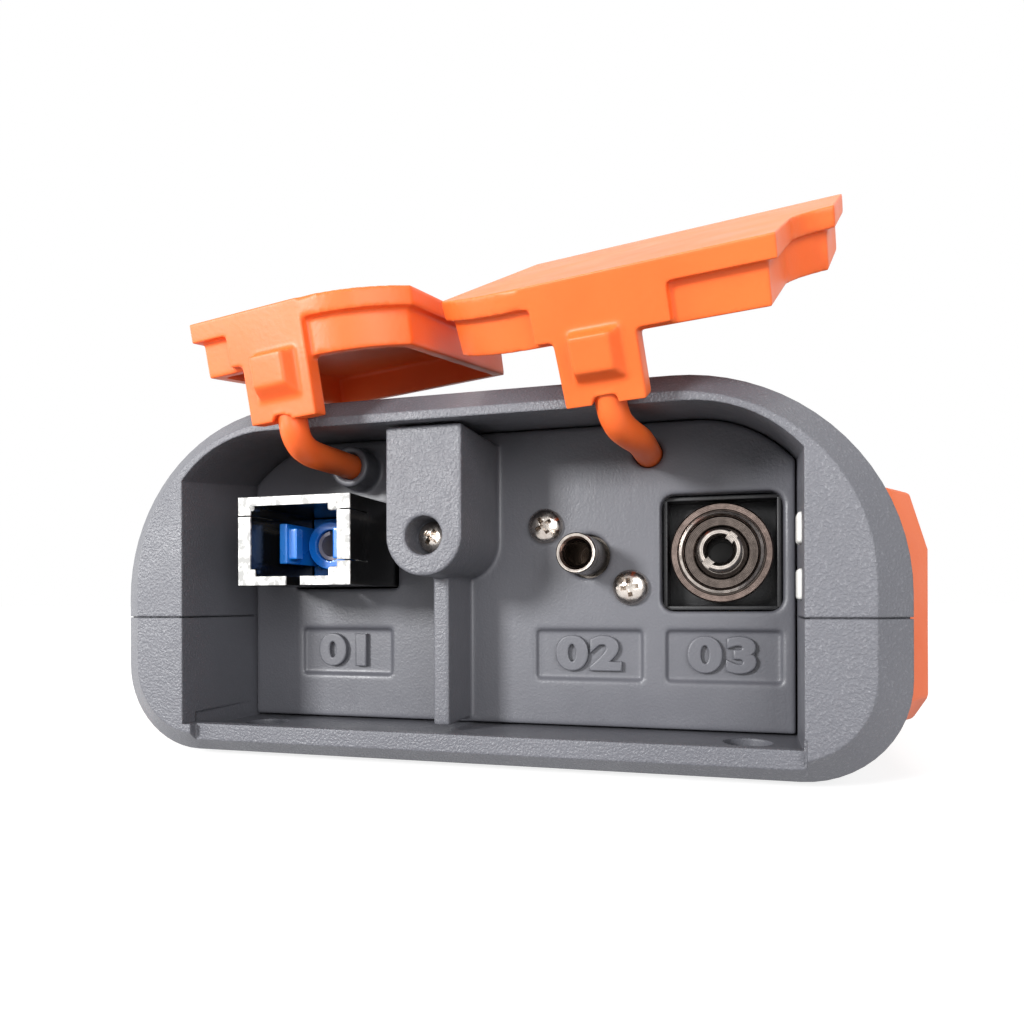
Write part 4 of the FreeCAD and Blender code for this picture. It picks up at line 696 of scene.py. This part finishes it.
def make_opm_port():
    """Power meter port: chamfered tube, with its plate behind the panel."""
    front, back = stations("opm_port")
    profile = [(0.0, back - 2.0), (1.25, back - 2.0), (1.25, front + 0.75), (1.34, front + 0.62),
               (1.62, front + 0.10), (1.70, front + 0.02), (1.95, front), (2.05, front + 0.12),
               (2.05, front + 1.45), (1.98, front + 1.55), (2.05, front + 1.65), (2.05, back), (0.0, back)]
    bm = bmesh.new()
    bm.from_mesh(lathe("opm_port", profile, *OPM, 96))
    plate = PANEL_FACE / MM + 2.56
    wedge_block(bm, OPM, 0.0, ((6.6, 5.5), plate), ((6.6, 5.5), plate + 1.5))
    obj = piece("opm_port_turned", mesh_of(bm, "opm_port_turned"), "root", "warm_metal", smooth=28)
    dress(obj, OPM_METAL)
    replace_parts(obj, "opm_port")


def rounded_block(bm, low, high, soft):
    """Block with edges rounded by soft, from low to high (mm)."""
    made = bmesh.ops.create_cube(bm, size=1.0)["verts"]
    for vert in made:
        vert.co = Vector([(low[k] + high[k]) / 2 + vert.co[k] * (high[k] - low[k]) for k in range(3)]) * MM
    edges = list({edge for vert in made for edge in vert.link_edges})
    bmesh.ops.bevel(bm, geom=edges, offset=soft * MM, segments=3, profile=0.5, affect="EDGES")


def make_adapter_corners():
    """Melted-looking lumps in the inner corners of the adapter's rim, each of its own size."""
    bm = bmesh.new()
    centre_x, centre_z = (place / MM for place in middle("sc_adapter_shell"))
    half_x, half_z, into_rim, deep = 5.1, 3.725, 0.4, 1.4
    lumps = ((1, 1, 1.15, 0.75), (1, -1, 1.1, 0.95), (-1, -1, 0.6, 0.8), (-1, 1, 0.45, 0.55))
    for sx, sz, wide, tall in lumps:
        x, z = centre_x + sx * half_x, centre_z + sz * half_z
        x0, x1 = sorted((x - sx * wide, x + sx * into_rim))
        z0, z1 = sorted((z - sz * tall, z + sz * into_rim))
        rounded_block(bm, (x0, SC_FRONT, z0), (x1, SC_FRONT + deep, z1), 0.28)
    piece("sc_rim_corners", mesh_of(bm, "sc_rim_corners"), "root", "nickel", smooth=40)


def make_wall_latches():
    """Latch tips of the upper half, seen in the right-hand wall of the recess, painted pale as a highlight
    where the light catches them.
    """
    bm = bmesh.new()
    wall, front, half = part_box("port_panel")[1].x / MM, FRONT / MM, 1.4
    for z in (17.9, 23.0):
        rounded_block(bm, (wall - 0.35, front + 4.6, z - half), (wall + 0.7, front + 7.4, z + half), 0.3)
    # The white plastic on these latch tips is a painted highlight.
    piece("recess_latch_highlights", mesh_of(bm, "recess_latch_highlights"), "root", "white_plastic", smooth=40)


def make_vfl_cup():
    """Black well behind the panel's window, round the fault locator port."""
    bm = bmesh.new()
    centre_x, centre_z = (place / MM for place in VFL)
    front, floor = PANEL_FACE / MM + 1.3, PANEL_FACE / MM + 4.3
    half, thick, sunk = 6.0, 0.5, 0.2
    rounded_block(bm, (centre_x - half, floor, centre_z - half),
                  (centre_x + half, floor + 1.0, centre_z + half), 0.12)
    walls = ((-half, -half, -half + thick, half), (half - thick, -half, half, half),
             (-half, -half, half, -half + thick), (-half, half - thick, half, half))
    for x0, z0, x1, z1 in walls:
        rounded_block(bm, (centre_x + x0, front, centre_z + z0),
                      (centre_x + x1, floor + sunk, centre_z + z1), 0.12)
    well = piece("vfl_well", mesh_of(bm, "vfl_well"), "root", "black_plastic", smooth=40)
    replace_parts(well, "vfl_cup")


make_vfl_port()
make_opm_port()
make_vfl_cup()
make_adapter_corners()
make_wall_latches()


# ------------------------------------------------------------------------------- raised numbers
PAD_HEIGHT = 10.7 * MM
PAD_PLACES = {"01": -18.8 * MM, "02": 10.0 * MM, "03": 24.0 * MM}
PAD_DEPTH = 0.5 * MM
WIDE_LETTERS = Matrix.Diagonal((1.35, 1.0, 1.0, 1.0))


def raised_number(text, x):
    """Moulded number standing in its recessed pad on the port panel."""
    curve = bpy.data.curves.new("port_number_" + text, "FONT")
    curve.body = text
    curve.size = 4.7 * MM
    curve.space_character = 1.15
    curve.align_x = "CENTER"
    curve.align_y = "CENTER"
    curve.extrude = 0.30 * MM
    curve.bevel_depth = 0.13 * MM
    curve.bevel_resolution = 2
    curve.offset = 0.16 * MM
    mesh = applied(placed("port_number_" + text, curve))
    place = Matrix.Translation(Vector((x, PANEL_FACE + PAD_DEPTH - 0.2 * MM, PAD_HEIGHT)))
    mesh.transform(place @ Matrix.Rotation(math.radians(90), 4, "X") @ WIDE_LETTERS)
    piece("port_number_" + text, mesh, "root", "panel_grey", smooth=30)


for number, pad_x in PAD_PLACES.items():
    raised_number(number, pad_x)


# -------------------------------------------------------------------------- floor, light, camera
def make_floor():
    """Pale floor that shows white to the camera and keeps the object's soft shadow."""
    bm = bmesh.new()
    bmesh.ops.create_grid(bm, x_segments=8, y_segments=8, size=30.0)
    floor = placed("floor", mesh_of(bm, "floor"))
    floor.location.z = -0.02 * MM
    material, tree, shader, coords = new_material("floor")
    tree.nodes.remove(shader)
    matt = tree.nodes.new("ShaderNodeBsdfDiffuse")
    grey = ramp(tree, noise(tree, coords, 0.3), (0.34, 0.34, 0.34), (0.36, 0.36, 0.36))
    tree.links.new(grey, matt.inputs["Color"])
    away = tree.nodes.new("ShaderNodeVectorMath")
    away.operation = "LENGTH"
    tree.links.new(coords, away.inputs[0])
    whiteness = span(tree, away.outputs["Value"], 0.80, 1.0, 0.12, 0.5)
    glow = tree.nodes.new("ShaderNodeEmission")
    tree.links.new(paired(tree, "MULTIPLY", whiteness, seen_ray(tree, 0.0)), glow.inputs["Strength"])
    total = tree.nodes.new("ShaderNodeAddShader")
    tree.links.new(matt.outputs["BSDF"], total.inputs[0])
    tree.links.new(glow.outputs["Emission"], total.inputs[1])
    tree.links.new(total.outputs["Shader"], tree.nodes["Material Output"].inputs["Surface"])
    floor.data.materials.append(material)


def seen_ray(tree, unseen):
    """Strength 1 for rays that show the background, and unseen for those that only light the object."""
    path = tree.nodes.new("ShaderNodeLightPath")
    shown = path.outputs["Is Camera Ray"]
    for kind in ("Is Glossy Ray", "Is Transmission Ray"):
        shown = paired(tree, "MAXIMUM", shown, path.outputs[kind])
    return span(tree, shown, unseen, 1.0, 0.0, 1.0)


def make_world():
    """White to the eye, soft grey as light."""
    world = bpy.data.worlds.new("studio")
    bpy.context.scene.world = world
    world.use_nodes = True
    tree = world.node_tree
    background = tree.nodes["Background"]
    background.inputs["Color"].default_value = (1, 1, 1, 1)
    tree.links.new(seen_ray(tree, 0.30), background.inputs["Strength"])


LIT_POINT = Vector((0.0, -0.06, 0.02))


def area_light(name, at, size, power):
    """Soft square lamp that faces the middle of the bays."""
    data = bpy.data.lights.new(name, "AREA")
    data.size = size
    data.energy = power
    lamp = placed(name, data)
    lamp.location = at
    lamp.rotation_euler = (LIT_POINT - Vector(at)).to_track_quat("-Z", "Y").to_euler()


def make_camera():
    """Close, level view of the port face from a little to the right."""
    data = bpy.data.cameras.new("camera")
    data.lens = 27.84
    data.sensor_width = 36.0
    data.shift_x = -0.0068
    data.shift_y = 0.0904
    data.clip_start = 0.002
    camera = placed("camera", data)
    camera.location = (0.02636, -0.1485, 0.01604)
    yaw, pitch, roll = (math.radians(a) for a in (16.07, 0.055, -0.16))
    camera.rotation_euler = (Matrix.Rotation(yaw, 3, "Z") @ Matrix.Rotation(math.pi / 2 + pitch, 3, "X") @
                             Matrix.Rotation(roll, 3, "Z")).to_euler()
    bpy.context.scene.camera = camera


make_floor()
make_world()
area_light("key", (-0.36, -0.66, 0.21), 0.14, 5.6)
area_light("fill", (0.30, -0.60, 0.18), 0.40, 2.8)
area_light("side", (-0.75, -0.30, 0.16), 0.35, 2.6)
area_light("top", (0.0, 0.05, 0.8), 0.6, 2.6)
make_camera()
bpy.context.scene.view_settings.view_transform = "Standard"
